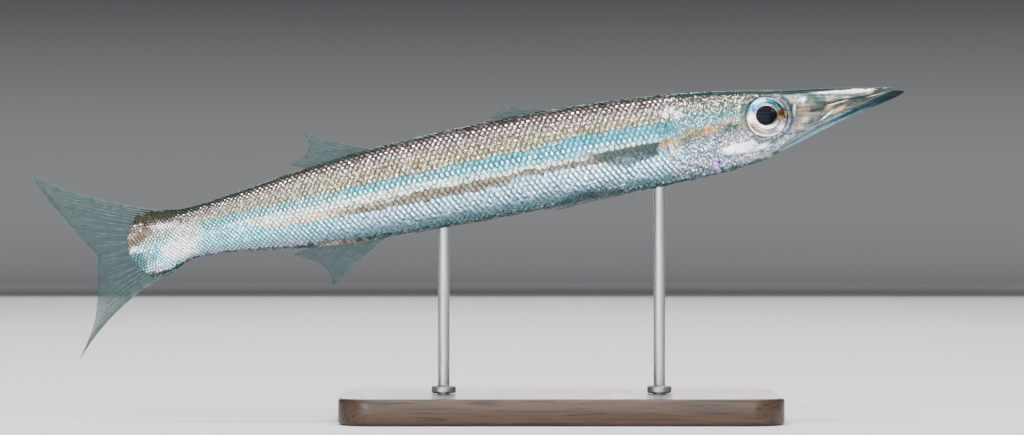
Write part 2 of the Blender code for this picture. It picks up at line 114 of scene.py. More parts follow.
def sums(tree, operation, first, second=0.0, third=0.0, clamp=False):
    """The result of a Math node."""
    inputs = {0: first, 1: second, 2: third}
    return put(tree, "ShaderNodeMath", inputs, operation=operation, use_clamp=clamp).outputs[0]


def vectors(tree, operation, first, second=(0, 0, 0)):
    """The result of a Vector Math node: a number where it measures, and otherwise a vector."""
    made = put(tree, "ShaderNodeVectorMath", {0: first, 1: second}, operation=operation)
    return made.outputs["Value" if operation in ("LENGTH", "DOT_PRODUCT") else "Vector"]


def blended(tree, factor, first, second, kind="MIX"):
    """The colour between two colours."""
    inputs = {0: factor, 6: first, 7: second}
    return put(tree, "ShaderNodeMix", inputs, data_type="RGBA", blend_type=kind).outputs[2]


def grey(tree, colour):
    """The brightness of a colour."""
    return put(tree, "ShaderNodeRGBToBW", {"Color": colour}).outputs["Val"]


def own_place(tree):
    """Where a point of the piece lies."""
    return put(tree, "ShaderNodeTexCoord").outputs["Object"]


def mottle(tree, place, scale, detail, distortion=0.0):
    """Soft random patches between 0 and 1."""
    inputs = {"Vector": place, "Scale": scale, "Detail": detail, "Distortion": distortion}
    return put(tree, "ShaderNodeTexNoise", inputs).outputs["Fac"]


def drawn_out(tree, place, scale, turn=0.0):
    """A place stretched along the axes, for patterns with a grain."""
    inputs = {"Vector": place, "Rotation": (0, turn, 0), "Scale": scale}
    return put(tree, "ShaderNodeMapping", inputs).outputs["Vector"]


def embossed(tree, shader, height, strength, distance):
    """Raises a finish's surface by a height."""
    bump = put(tree, "ShaderNodeBump", {"Strength": strength, "Distance": distance, "Height": height})
    fill(tree, shader, {"Normal": bump.outputs["Normal"]})


def link_object(name, mesh, material=None):
    """An object with its mesh and material, in the scene."""
    obj = bpy.data.objects.new(name, mesh)
    bpy.context.scene.collection.objects.link(obj)
    if material:
        mesh.materials.append(material)
    return obj


def turned_mesh(name, profile, steps, closed=False):
    """A mesh turned about the upright axis from (radius, height) pairs, whose ends may lie on the axis."""
    turns = np.arange(steps) * 2 * math.pi / steps
    rings = profile[1:-1] if closed else profile
    points = [(r * math.cos(t), r * math.sin(t), z) for r, z in rings for t in turns]
    faces = []
    for i in range(len(rings) - 1):
        for k in range(steps):
            n = (k + 1) % steps
            faces.append((i * steps + k, i * steps + n, (i + 1) * steps + n, (i + 1) * steps + k))
    if closed:
        points += [(0, 0, profile[0][1]), (0, 0, profile[-1][1])]
        last = (len(rings) - 1) * steps
        faces += [(len(points) - 2, (k + 1) % steps, k) for k in range(steps)]
        faces += [(len(points) - 1, last + k, last + (k + 1) % steps) for k in range(steps)]
    mesh = bpy.data.meshes.new(name)
    mesh.from_pydata(points, [], faces)
    mesh.shade_smooth()
    return mesh


bends = [math.radians(6 * k) for k in range(16)]
sweep_profile = [(0.02, 0), (0.6, 0), (SWEEP_FLOOR, 0)]
sweep_profile += [
    (SWEEP_FLOOR + SWEEP_BEND * math.sin(b), SWEEP_BEND * (1 - math.cos(b))) for b in bends[1:]
]
sweep_profile += [(SWEEP_FLOOR + SWEEP_BEND, SWEEP_HEIGHT)]
sweep_material, tree, paint = new_material("sweep_paper")
place = own_place(tree)
level = put(tree, "ShaderNodeSeparateXYZ", {"Vector": place}).outputs["Z"]
climb = sums(tree, "DIVIDE", level, SWEEP_HEIGHT, clamp=True)
tone = ramp(tree, climb, [(0.0, PALE), (0.012, PALE), (0.16, SHADE), (1.0, SHADE)], "EASE")
# the floor is painted darker in a ring under the strips behind, a painted shade, so that it meets the wall
# softly
far = sums(tree, "DIVIDE", vectors(tree, "LENGTH", place), SWEEP_REACH, clamp=True)
painted_floor_shade = ramp(tree, far, [(0.20, 1), (0.465, FLOOR_PAINTED_SHADE), (0.50, FLOOR_PAINTED_SHADE), (0.62, 1)], "EASE")
embossed(tree, paint, mottle(tree, place, 900.0, 3.0), 0.05, 0.0004)
fill(tree, paint, {"Base Color": blended(tree, 1.0, tone, painted_floor_shade, "MULTIPLY"), "Roughness": 0.85})
sweep_mesh = turned_mesh("sweep", [(r, z - SWEEP_DROP) for r, z in sweep_profile], 96)
hub = bmesh.new()
hub.from_mesh(sweep_mesh)
bmesh.ops.holes_fill(hub, edges=[e for e in hub.edges if e.is_boundary and e.verts[0].co.length < 0.1])
hub.to_mesh(sweep_mesh)
hub.free()
link_object("sweep", sweep_mesh, sweep_material)

# The studio light: a wide soft box behind the camera, narrow strips at several heights, in front and behind,
# whose reflections make thin bright lines on every curved scale, low strips for the underside, a box each
# for the tail stalk's and the cheek's glare, and small fills.
LIGHTS = (
    # name, place, width, height, radiance, colour
    ("front_box", (-0.05, -2.0, 0.50), 1.7, 0.6, 1.5, (1.0, 0.99, 0.97)),
    ("level_strip", (-0.05, -2.0, 0.15), 1.7, 0.045, 42.0, (1.0, 0.99, 0.97)),
    ("eye_strip", (-0.05, -1.95, 0.53), 1.7, 0.045, 42.0, (1.0, 0.97, 0.98)),
    ("brow_strip", (-0.05, -1.83, 0.89), 1.7, 0.045, 42.0, (1.0, 0.98, 0.96)),
    ("slant_strip", (-0.03, -1.6, 1.20), 1.6, 0.035, 60.0, (1.0, 0.97, 0.97)),
    ("high_strip", (-0.02, -1.0, 1.30), 1.5, 0.05, 80.0, (1.0, 0.97, 0.97)),
    ("upper_strip", (-0.03, -0.5, 1.45), 1.6, 0.035, 80.0, (1.0, 0.97, 0.95)),
    ("top_strip", (-0.06, 0.10, 1.45), 1.6, 0.07, 70.0, (1.0, 0.96, 0.97)),
    ("low_panel", (-0.03, -0.36, 0.003), 0.9, 0.42, 1.8, (0.96, 0.98, 1.0)),
    ("near_strip", (-0.03, -0.20, 0.004), 0.9, 0.010, 30.0, (1.0, 0.98, 1.0)),
    ("far_strip", (-0.03, -0.46, 0.004), 0.9, 0.024, 30.0, (1.0, 0.98, 1.0)),
    ("close_strip", (-0.03, -0.075, 0.004), 0.9, 0.004, 30.0, (1.0, 0.98, 1.0)),
    ("middle_strip", (-0.03, -0.13, 0.004), 0.9, 0.006, 30.0, (1.0, 0.98, 1.0)),
    ("belly_strip", (-0.03, 0.062, 0.004), 0.9, 0.004, 20.0, (0.98, 1.0, 1.0)),
    ("spark", (0.90, -1.3, 0.90), 0.10, 0.10, 200.0, (1.0, 0.98, 0.96)),
    ("stalk_box", (-1.05, -1.80, 0.22), 0.55, 0.40, 20.0, (1.0, 0.97, 1.0)),
    ("cheek_box", (0.10, -0.155, 0.005), 0.06, 0.05, 12.0, (1.0, 0.98, 1.0)),
    ("nose_fill", (1.7, -0.5, 0.6), 0.8, 0.8, 1.6, (0.95, 0.98, 1.0)),
    ("tail_fill", (-1.7, -0.2, 0.6), 0.8, 0.8, 1.6, (0.95, 0.98, 1.0)),
    ("rear_box", (0.0, 1.9, 1.0), 1.4, 0.7, 1.6, (0.95, 0.98, 1.0)),
    ("rear_level_strip", (0.0, 1.9, 0.15), 1.7, 0.04, 36.0, (1.0, 0.98, 0.97)),
    ("rear_eye_strip", (0.0, 1.9, 0.50), 1.7, 0.04, 36.0, (1.0, 0.98, 0.97)),
    ("rear_brow_strip", (0.0, 1.8, 0.90), 1.7, 0.04, 36.0, (1.0, 0.98, 0.97)),
)
AIM = Vector((-0.02, 0.0, 0.08))

for name, spot, wide, high, radiance, colour in LIGHTS:
    area = bpy.data.lights.new(name, "AREA")
    area.shape = "RECTANGLE"
    area.size = wide
    area.size_y = high
    area.energy = radiance * math.pi * wide * high
    area.color = colour
    lamp = bpy.data.objects.new(name, area)
    lamp.location = spot
    aim = AIM if spot[2] > 0.1 else Vector(spot) + Vector((0, 0, 1))
    lamp.rotation_euler = (aim - Vector(spot)).to_track_quat("-Z", "Y").to_euler()
    bpy.context.scene.collection.objects.link(lamp)

room = bpy.data.worlds.new("room")
room.use_nodes = True
room.node_tree.nodes["Background"].inputs["Color"].default_value = (0.55, 0.62, 0.70, 1)
room.node_tree.nodes["Background"].inputs["Strength"].default_value = 0.20
bpy.context.scene.world = room

# The body's form. A real barracuda is a long, slightly flattened spindle with a flat-topped, pointed head.
# The rows give the distance behind the tip of the lower jaw, the height of the back and of the belly,
# and half the width, in mm, and the second table how square the section is above and below.
MM = 0.001
PITCH = math.radians(11.5)
BODY = (
    (0.0, 1.1, -0.1, 0.7),
    (4.0, 2.8, -1.3, 1.6),
    (14.0, 4.9, -3.4, 2.9),
    (28.0, 7.4, -6.6, 4.5),
    (41.0, 9.4, -10.2, 6.2),
    (55.0, 12.1, -13.4, 7.9),
    (69.0, 14.4, -14.7, 9.5),
    (96.0, 17.3, -15.0, 11.5),
    (137.0, 18.9, -14.6, 12.2),
    (178.0, 17.9, -13.5, 11.0),
    (206.0, 15.7, -12.0, 9.1),
    (233.0, 12.1, -8.2, 6.0),
    (250.0, 10.4, -7.1, 3.6),
    (258.3, 11.3, -9.9, 1.7),
)
SQUARENESS = (
    (0.0, 2.2, 2.0),
    (28.0, 2.6, 2.1),
    (48.0, 3.6, 2.1),
    (66.0, 2.9, 2.2),
    (96.0, 2.3, 2.3),
    (178.0, 2.1, 2.2),
    (258.3, 2.0, 2.0),
)
BODY_END = 258.3
UPPER_JAW_TIP = 3.7


def eased(table, at, column):
    """Smooth values between the rows of a table, by the slopes of the neighbouring rows."""
    rows = np.array(table)
    x, y = rows[:, 0], rows[:, column]
    last = len(x) - 1
    low, high = np.maximum(np.arange(last + 1) - 1, 0), np.minimum(np.arange(last + 1) + 1, last)
    slope = (y[high] - y[low]) / (x[high] - x[low])
    at = np.clip(at, x[0], x[-1])
    i = np.clip(np.searchsorted(x, at, side="right") - 1, 0, last - 1)
    width = x[i + 1] - x[i]
    t = (at - x[i]) / width
    return (
        y[i] * (1 + 2 * t) * (1 - t) ** 2
        + slope[i] * width * t * (1 - t) ** 2
        + y[i + 1] * t * t * (3 - 2 * t)
        - slope[i + 1] * width * t * t * (1 - t)
    )


def soft(low, high, value):
    """0 below low, 1 above high, and a smooth step between. low may be the larger one."""
    t = np.clip((value - low) / (high - low), 0.0, 1.0)
    return t * t * (3 - 2 * t)


def swell(offset, width):
    """1 where there is no offset, and falling to 0 over a width."""
    return np.exp(-((offset / width) ** 2))


def on_body(at, turn, out=0.0):
    """Points of the body in the fish's frame, mm. turn is 0 at the left side and 90 degrees on the back."""
    at, turn, out = np.broadcast_arrays(np.asarray(at, float), turn, out)
    top, bottom, half = (eased(BODY, at, k) for k in (1, 2, 3))
    level = (top + bottom) / 2
    across, up = np.cos(turn), np.sin(turn)
    reach = np.where(up >= 0, top - level, level - bottom)
    power = np.where(up >= 0, eased(SQUARENESS, at, 1), eased(SQUARENESS, at, 2))
    radius = (np.abs(across / half) ** power + np.abs(up / reach) ** power) ** (-1 / power)
    y, z = radius * across, radius * up
    normal_y = np.copysign(np.abs(y / half) ** (power - 1) / half, y)
    normal_z = np.copysign(np.abs(z / reach) ** (power - 1) / reach, z)
    length = np.hypot(normal_y, normal_z)
    return np.stack([-at, y + out * normal_y / length, level + z + out * normal_z / length], -1)


# A share of the girth runs from 0 on the belly's middle line to 1 on the back's, evenly along the skin.
STATIONS = np.linspace(0.0, BODY_END, 300)
TURNS = np.linspace(-math.pi / 2, math.pi / 2, 181)
SHARES = np.linspace(0.0, 1.0, 121)
girth_grid = on_body(STATIONS[:, None], TURNS[None, :])
girth_steps = np.linalg.norm(np.diff(girth_grid, axis=1), axis=2)
girth_run = np.concatenate([np.zeros((len(STATIONS), 1)), np.cumsum(girth_steps, axis=1)], axis=1)
HALF_GIRTH = girth_run[:, -1]
TURN_TABLE = np.array([np.interp(SHARES, run / run[-1], TURNS) for run in girth_run])


def turn_of(at, share):
    """The turn that lies at a share of the girth."""
    row = np.clip(np.asarray(at) / BODY_END, 0, 1) * (len(STATIONS) - 1)
    column = np.clip(share, 0, 1) * (len(SHARES) - 1)
    i = np.minimum(row.astype(int), len(STATIONS) - 2)
    j = np.minimum(column.astype(int), len(SHARES) - 2)
    a, b = row - i, column - j
    low = TURN_TABLE[i, j] * (1 - b) + TURN_TABLE[i, j + 1] * b
    high = TURN_TABLE[i + 1, j] * (1 - b) + TURN_TABLE[i + 1, j + 1] * b
    return low * (1 - a) + high * a


def share_at_height(at, height):
    """The share of the girth at which the skin has that height, in mm."""
    heights = on_body(at, TURNS)[:, 2]
    run = np.interp(at, STATIONS, np.arange(len(STATIONS)))
    arc = girth_run[int(round(run))]
    return float(np.interp(height, heights, arc / arc[-1]))


def hung(points):
    """Points of the fish's frame, in mm, at their place over the base, in metres."""
    points = np.asarray(points, float)
    turned = np.stack(
        [
            points[..., 0] * math.cos(PITCH) - points[..., 2] * math.sin(PITCH),
            points[..., 1],
            points[..., 0] * math.sin(PITCH) + points[..., 2] * math.cos(PITCH),
        ],
        -1,
    )
    return turned * MM + JAW_TIP


# The markings. The back is dark olive, then come rows of bright scales over brown, a finer olive gold band,
# a turquoise band, a cream and a tan stripe, and the bluish silver flank. Each stripe has a colour for
# the glint in the middle of a scale, a painted highlight on its silver, and one for the gap round it,
# and starts at a share of the height.
TRUNK_PLACES = (85.0, 105.0, 122.0, 140.0, 158.0, 186.0, 208.0)
TRUNK_STRIPES = (
    # upper edge at each place, softness, glint, gap
    ((1.2,) * 7, 0.02, (0.026, 0.056, 0.042), (0.006, 0.020, 0.017)),
    ((0.955, 0.96, 0.965, 0.965, 0.965, 0.96, 0.955), 0.012, (1.0, 0.93, 0.95), (0.050, 0.030, 0.024)),
    ((0.86, 0.87, 0.87, 0.86, 0.86, 0.85, 0.85), 0.03, (1.0, 0.92, 0.94), (0.095, 0.068, 0.060)),
    ((0.76, 0.775, 0.78, 0.79, 0.79, 0.80, 0.80), 0.03, (1.0, 0.95, 0.76), (0.115, 0.100, 0.052)),
    ((0.70, 0.685, 0.65, 0.63, 0.60, 0.61, 0.62), 0.010, (0.22, 0.58, 0.63), (0.022, 0.18, 0.23)),
    ((0.56, 0.56, 0.54, 0.53, 0.54, 0.55, 0.55), 0.012, (0.42, 0.80, 0.88), (0.035, 0.26, 0.33)),
    ((0.50, 0.50, 0.462, 0.468, 0.50, 0.52, 0.53), 0.02, (0.95, 0.91, 0.85), (0.34, 0.40, 0.37)),
    ((0.485, 0.46, 0.43, 0.425, 0.43, 0.40, 0.415), 0.02, (0.30, 0.255, 0.20), (0.085, 0.072, 0.050)),
    ((0.40, 0.385, 0.36, 0.338, 0.33, 0.32, 0.32), 0.014, (1.0, 0.95, 1.0), (0.14, 0.31, 0.39)),
    ((0.10, 0.11, 0.105, 0.095, 0.09, 0.08, 0.06), 0.02, (0.80, 0.95, 0.92), (0.020, 0.075, 0.085)),
    ((0.045,) * 7, 0.015, (0.020, 0.060, 0.070), (0.003, 0.015, 0.020)),
)
REAR_PLACES = (186.0, 208.0, 222.0, 236.0, 250.0, 262.0)
REAR_STRIPES = (
    ((1.2,) * 6, 0.02, (0.040, 0.058, 0.042), (0.010, 0.020, 0.016)),
    ((0.955, 0.95, 0.94, 0.93, 0.90, 0.86), 0.014, (1.0, 0.94, 0.93), (0.055, 0.035, 0.025)),
    ((0.86, 0.855, 0.85, 0.84, 0.78, 0.70), 0.03, (1.0, 0.93, 0.90), (0.19, 0.15, 0.12)),
    ((0.80, 0.79, 0.76, 0.70, 0.66, 0.60), 0.03, (0.95, 0.92, 0.74), (0.14, 0.15, 0.095)),
    ((0.63, 0.625, 0.64, 0.655, 0.62, 0.50), 0.014, (0.55, 0.86, 0.88), (0.045, 0.20, 0.225)),
    ((0.55, 0.545, 0.53, 0.50, 0.45, 0.40), 0.012, (1.0, 0.97, 0.95), (0.30, 0.40, 0.38)),
    ((0.405, 0.405, 0.375, 0.31, 0.20, 0.10), 0.016, (1.0, 0.76, 0.54), (0.40, 0.28, 0.18)),
    ((0.325, 0.325, 0.34, 0.50, 0.46, 0.45), 0.014, (0.80, 1.0, 1.0), (0.045, 0.30, 0.37)),
    ((0.115, 0.13, 0.12, 0.10, 0.08, 0.08), 0.02, (1.0, 0.93, 1.0), (0.16, 0.20, 0.24)),
    ((0.05, 0.06, 0.05, 0.045, 0.04, 0.04), 0.012, (0.060, 0.12, 0.13), (0.005, 0.022, 0.028)),
)
HEAD_PLACES = (0.0, 20.0, 34.0, 47.0, 60.0, 84.0)
CHEEK_STRIPES = (
    ((1.2,) * 6, 0.02, (0.025, 0.055, 0.048), (0.006, 0.024, 0.022)),
    ((0.925, 0.925, 0.92, 0.92, 0.93, 0.955), 0.012, (0.95, 0.86, 0.78), (0.034, 0.034, 0.026)),
    ((0.84,) * 6, 0.03, (0.95, 0.92, 0.80), (0.048, 0.072, 0.052)),
    ((0.74,) * 6, 0.03, (0.56, 0.84, 0.86), (0.040, 0.115, 0.12)),
    ((0.66,) * 6, 0.03, (0.75, 1.0, 1.0), (0.065, 0.17, 0.19)),
    ((0.575,) * 6, 0.02, (0.70, 0.60, 0.42), (0.085, 0.090, 0.055)),
    ((0.49,) * 6, 0.03, (1.0, 0.96, 1.0), (0.060, 0.095, 0.13)),
    ((0.10,) * 6, 0.03, (1.0, 0.95, 1.0), (0.050, 0.090, 0.12)),
    ((0.045,) * 6, 0.02, (0.040, 0.10, 0.11), (0.005, 0.020, 0.026)),
)
SNOUT_STRIPES = (
    ((1.2,) * 6, 0.02, (0.012, 0.040, 0.042), (0.003, 0.012, 0.014)),
    ((0.92, 0.92, 0.91, 0.90, 0.90, 0.90), 0.015, (0.52, 0.54, 0.46), (0.030, 0.042, 0.034)),
    ((0.66,) * 6, 0.05, (0.085, 0.095, 0.078), (0.010, 0.016, 0.013)),
    ((0.20, 0.36, 0.50, 0.50, 0.50, 0.50), 0.05, (0.26, 0.25, 0.22), (0.020, 0.030, 0.030)),
)
SNOUT_TO_CHEEK = (38.0, 46.0)
CHEEK_TO_TRUNK = (74.0, 84.0)
TRUNK_TO_REAR = (190.0, 206.0)
WHITE, BLACK = (1.0, 0.95, 0.98), (0.012, 0.012, 0.012)
GOLD, SALMON = (0.90, 0.52, 0.20), (0.66, 0.28, 0.17)
SPOT_EDGE = (1.35, 0.70)
SPOT_GAP = 0.64
SPOTS = (
    # distance behind, height, half length, half height, rise to the rear in degrees, colour, strength
    # the snout: its bright upper edge, a painted highlight, dark back, the upper jaw's lines, of which the
    # black ones under the ledge are painted shadow, and the nostril's white spot, a painted highlight
    (6.5, 1.9, 4.6, 1.9, 7.0, (0.024, 0.036, 0.031), 0.95),
    (19.0, 3.1, 7.5, 0.8, 7.7, (0.40, 0.39, 0.36), 0.5),
    (30.3, 3.7, 3.2, 1.5, 8.0, (0.025, 0.09, 0.075), 0.7),
    # the two white strips along the snout's top: painted highlights
    (20.6, 4.75, 9.6, 0.44, 7.7, WHITE, 1.0),
    (16.4, 4.05, 5.0, 0.66, 7.7, WHITE, 1.0),
    (34.2, 3.9, 0.5, 1.3, 0.0, (0.25, 0.45, 0.75), 0.6),
    # the nostril's white spot: a painted highlight
    (35.3, 4.6, 1.0, 1.05, 0.0, WHITE, 1.0),
    (35.4, 0.9, 2.2, 1.6, 0.0, (0.42, 0.25, 0.17), 0.6),
    (37.2, -2.8, 2.8, 1.7, -20.0, (0.85, 0.62, 0.54), 0.5),
    (26.6, 0.35, 1.7, 0.55, -20.0, SALMON, 0.75),
    (23.4, -1.2, 2.6, 0.7, -22.0, SALMON, 0.8),
    (23.4, 1.25, 3.7, 0.20, -5.0, (0.95, 0.80, 0.62), 0.85),
    # two black lines under the upper jaw's ledge: painted shadow
    (24.2, 1.68, 3.4, 0.17, -4.0, BLACK, 0.9),
    (14.8, 1.72, 6.0, 0.15, -1.0, BLACK, 0.85),
    (28.7, -2.30, 3.0, 0.26, -27.0, BLACK, 0.75),
    (28.5, -2.75, 3.3, 0.28, -29.0, (1.0, 0.90, 0.62), 0.95),
    (27.2, -3.35, 1.2, 0.7, -35.0, (0.06, 0.16, 0.34), 0.7),
    (9.5, 1.35, 3.2, 0.14, -3.0, (0.90, 0.74, 0.46), 0.75),
    (4.8, 2.5, 2.4, 0.8, 8.0, (0.012, 0.10, 0.12), 0.85),
    (5.9, 3.3, 0.45, 0.30, 8.0, WHITE, 1.0),
    (38.6, 1.7, 0.42, 2.1, 12.0, (1.0, 0.80, 0.46), 0.95),
    (44.5, -8.8, 0.7, 0.45, -30.0, WHITE, 0.9),
    # the cheek: a gold stripe in blotches, a dark streak behind the eye, and the mirror-bright lower cheek,
    # its glare painted on in white
    (60.7, 2.0, 3.0, 0.8, -6.0, (0.90, 0.60, 0.40), 0.8),
    (61.3, 0.3, 2.7, 0.9, -8.0, (0.04, 0.10, 0.095), 0.85),
    (68.3, 0.5, 2.2, 2.1, 0.0, GOLD, 0.75),
    (74.2, 0.6, 2.2, 1.3, 0.0, (0.40, 0.31, 0.12), 0.75),
    (76.8, -1.0, 2.2, 1.0, 0.0, (0.09, 0.12, 0.06), 0.75),
    (80.6, -1.0, 1.5, 1.0, 0.0, GOLD, 0.85),
    (84.4, -1.3, 1.4, 0.8, 0.0, GOLD, 0.8),
    # the pale and white patches of the lower cheek: painted glare on its silver
    (60.5, -3.3, 4.2, 1.3, 0.0, (1.0, 0.84, 0.82), 0.6),
    (60.2, -7.0, 5.6, 1.8, 3.0, WHITE, 1.0),
    (52.0, -8.4, 2.8, 0.65, -16.0, WHITE, 0.95),
    (62.8, -9.7, 5.5, 0.40, -4.0, (0.05, 0.20, 0.24), 0.75),
    (67.4, -11.0, 2.0, 1.4, 0.0, (0.80, 0.46, 0.95), 0.9),
    (67.2, -11.0, 0.95, 0.65, 0.0, (0.03, 0.03, 0.18), 0.95),
    (57.0, -11.4, 7.5, 0.7, 3.0, (0.90, 0.82, 0.84), 0.75),
    # a white patch at the gill cover's upper rear corner: a painted highlight
    (79.7, 8.7, 3.7, 1.7, 14.0, WHITE, 0.95),
    (82.5, -4.2, 0.9, 3.0, 3.0, WHITE, 0.9),
    (81.2, -9.9, 0.7, 2.3, -21.0, WHITE, 0.85),
    # the belly's edge: a bright streak at the pelvic fin, a painted highlight, and beads along the root of
    # the anal fin, painted as glints
    (105.0, -12.9, 6.5, 0.6, 0.0, WHITE, 0.9),
    (195.0, -12.6, 11.5, 0.7, 5.0, (1.0, 0.72, 0.55), 0.85),
    # the tail stalk's glare, painted in white as highlights, and the olive and rosy root of the tail fin
    (262.0, 9.3, 9.0, 2.4, 4.0, (0.055, 0.046, 0.030), 0.85),
    (253.5, -2.7, 6.2, 3.4, 0.0, WHITE, 1.0),
    (249.5, 2.0, 5.0, 2.8, 10.0, WHITE, 0.8),
    (256.8, 6.0, 4.4, 1.1, 6.0, WHITE, 0.95),
    (260.5, 1.6, 2.4, 2.6, 20.0, (0.20, 0.72, 0.80), 0.5),
    (265.2, 4.6, 3.0, 1.7, -8.0, (0.20, 0.15, 0.10), 0.85),
    (268.6, 2.6, 3.2, 1.8, -12.0, (0.15, 0.11, 0.07), 0.9),
    (265.0, -3.6, 2.8, 2.2, 0.0, (0.14, 0.20, 0.16), 0.7),
    (269.5, -4.4, 2.6, 3.6, 0.0, (0.045, 0.10, 0.095), 0.9),
    (269.6, -0.5, 3.4, 0.42, -8.0, (1.0, 0.75, 0.72), 0.95),
    (263.5, -7.6, 3.6, 0.7, 3.0, (0.95, 0.46, 0.42), 0.7),
    (266.0, -9.6, 5.0, 1.0, 5.0, (0.060, 0.055, 0.045), 0.7),
)
EYE_AT, EYE_HEIGHT = 48.3, 1.5
ORBIT, ORBIT_WIDE = 8.7, 0.9
ORBIT_PAINTED_SHADE = (
    # how far ahead and how far up each part of the ring lies, and its colour, a painted shade round the eye
    (-0.9, 0.3, (0.050, 0.052, 0.034)),
    (0.0, -1.0, (0.034, 0.052, 0.048)),
    (1.0, 0.0, (0.008, 0.028, 0.055)),
)


def height_share(at, height):
    """How far up the body's side a height is: 0 at the belly and 1 at the back."""
    top, bottom = eased(BODY, at, 1), eased(BODY, at, 2)
    return (height - bottom) / (top - bottom)


def striped(places, stripes, at, up):
    """Glint and gap colours of one zone, its stripes laid over one another from the back down."""
    colours = [np.zeros(at.shape + (3,)), np.zeros(at.shape + (3,))]
    for edges, softness, glint, gap in stripes:
        edge = np.interp(at, places, edges)
        below = soft(edge + softness, edge - softness, up)[..., None]
        colours = [old * (1 - below) + np.array(new) * below for old, new in zip(colours, (glint, gap))]
    return colours


def markings(at, height):
    """Glint and gap colours at places on the skin, given as distance behind and height, in mm."""
    at, height = np.broadcast_arrays(np.asarray(at, float), height)
    up = height_share(at, height)
    glint, gap = striped(HEAD_PLACES, SNOUT_STRIPES, at, up)
    later = (
        (HEAD_PLACES, CHEEK_STRIPES, SNOUT_TO_CHEEK),
        (TRUNK_PLACES, TRUNK_STRIPES, CHEEK_TO_TRUNK),
        (REAR_PLACES, REAR_STRIPES, TRUNK_TO_REAR),
    )
    for places, stripes, (start, end) in later:
        share = soft(start, end, at)[..., None]
        next_glint, next_gap = striped(places, stripes, at, up)
        glint = glint * (1 - share) + next_glint * share
        gap = gap * (1 - share) + next_gap * share
    # the ring of skin round the eye is painted with shade: tan behind, grey green below and dark blue ahead
    ahead, above = EYE_AT - at, height - EYE_HEIGHT
    away = np.hypot(ahead, above)
    cover = swell(away - ORBIT, ORBIT_WIDE)
    for toward, over, tone in ORBIT_PAINTED_SHADE:
        facing = np.maximum((ahead * toward + above * over) / np.maximum(away, 0.1), 0) ** 1.5
        share = (0.85 * cover * facing)[..., None]
        glint = glint + (np.array(tone) * 1.2 - glint) * share
        gap = gap + (np.array(tone) * 0.6 - gap) * share
    # the spots' outlines waver, the larger ones by half a millimetre
    waver = 0.5 * np.sin(1.9 * height + 0.7 * at) + 0.35 * np.sin(2.3 * at - 1.3 * height)
    for spot_at, spot_height, long, high, rise, colour, strength in SPOTS:
        slope = math.radians(rise)
        drawn = waver * min(1.0, 0.5 * high, 0.5 * long)
        behind, above = at - spot_at + drawn, height - spot_height - 0.6 * drawn
        along = (behind * math.cos(slope) + above * math.sin(slope)) / long
        across = (above * math.cos(slope) - behind * math.sin(slope)) / high
        cover = (soft(*SPOT_EDGE, np.hypot(along, across)) * strength)[..., None]
        glint = glint + (np.array(colour) - glint) * cover
        gap = gap + (np.array(colour) * SPOT_GAP * strength**2 - gap) * cover
    return glint, gap


# The eye's seat. A barracuda's eye is large and looks straight out to the side, just under
# the head's flat top. The skin round it rises to a low rim.
EYE_RADIUS = 7.5
EYE_OVAL = 0.955
EYE_DOME = 1.9
EYE_SUNK = 0.9
EYE_UPWARD = math.radians(5.0)
RIM_INNER, RIM_OUTER, RIM_RISE = 7.62, 9.6, 0.55


def eye_seat(side):
    """Where the eye sits on the skin, in mm in the fish's frame, with the ways it looks, forward and up."""
    turn = float(turn_of(EYE_AT, share_at_height(EYE_AT, EYE_HEIGHT)))
    seat = on_body(EYE_AT, turn)
    forward = on_body(EYE_AT - 6, turn) - on_body(EYE_AT + 6, turn)
    forward /= np.linalg.norm(forward)
    look = np.array([0.0, 1.0, 0.0]) - forward * forward[1]
    look = np.array([look[0], look[1] * math.cos(EYE_UPWARD), math.sin(EYE_UPWARD)])
    look /= np.linalg.norm(look)
    flip = np.array([1.0, side, 1.0])
    seat, forward, look = seat * flip, forward * flip, look * flip
    forward = forward - look * np.dot(look, forward)
    forward /= np.linalg.norm(forward)
    rise = np.cross(look, forward)
    return seat, look, forward, rise if rise[2] > 0 else -rise


# The head's relief. Thin bones lie right under the skin: the strip of the upper jaw under its ledge,
# the rim round the eye, the cheek bone's edge, and the gill cover that stands off the shoulder.
SKIN_DEPTH = 0.15
MOUTH_LINE = ((0.0, 1.9), (3.7, 1.9), (14.0, -0.35), (31.9, -4.3), (46.5, -9.9))
MOUTH_SLIT, MOUTH_SLIT_AT_TIP = 0.26, 0.45
MOUTH_CORNER = 31.9
JAW_END = 46.0
LEDGE = ((8.0, 2.45), (14.0, 2.15), (22.0, 1.85), (29.0, 1.30))
GILL_EDGE = (
    # share of the girth, distance behind of the gill cover's free edge
    (0.00, 50.0),
    (0.06, 57.0),
    (0.13, 66.5),
    (0.20, 74.5),
    (0.28, 80.0),
    (0.38, 82.8),
    (0.52, 83.2),
    (0.62, 82.0),
    (0.70, 79.0),
    (0.78, 74.0),
)
GILL_LIFT = 0.55
CHEEK_EDGE = ((0.10, 57.5), (0.20, 63.0), (0.32, 66.0), (0.45, 65.2), (0.58, 63.5), (0.70, 62.0))
CHEEK_LIFT = 0.28
# distance behind, height and radius of each
NOSTRILS = ((35.9, 5.4, 0.62), (37.7, 5.9, 0.5))
NOSTRIL_DEPTH = 0.75
UPPER_JAW_STEP, UPPER_JAW_BULGE, LIP = 0.42, 0.15, 0.20
SNOUT_RIDGE, NOSTRIL_RIM = 0.16, 0.16
CHEEK_GROOVE, SHOULDER_GROOVE, PLATE_SEAM, THROAT_FOLD = 0.12, 0.22, 0.13, 0.14
CROWN_TROUGH, CROWN_RIDGE = 0.30, 0.10
RAYS_UNDER = (0.025, 0.05, 0.078, 0.108)


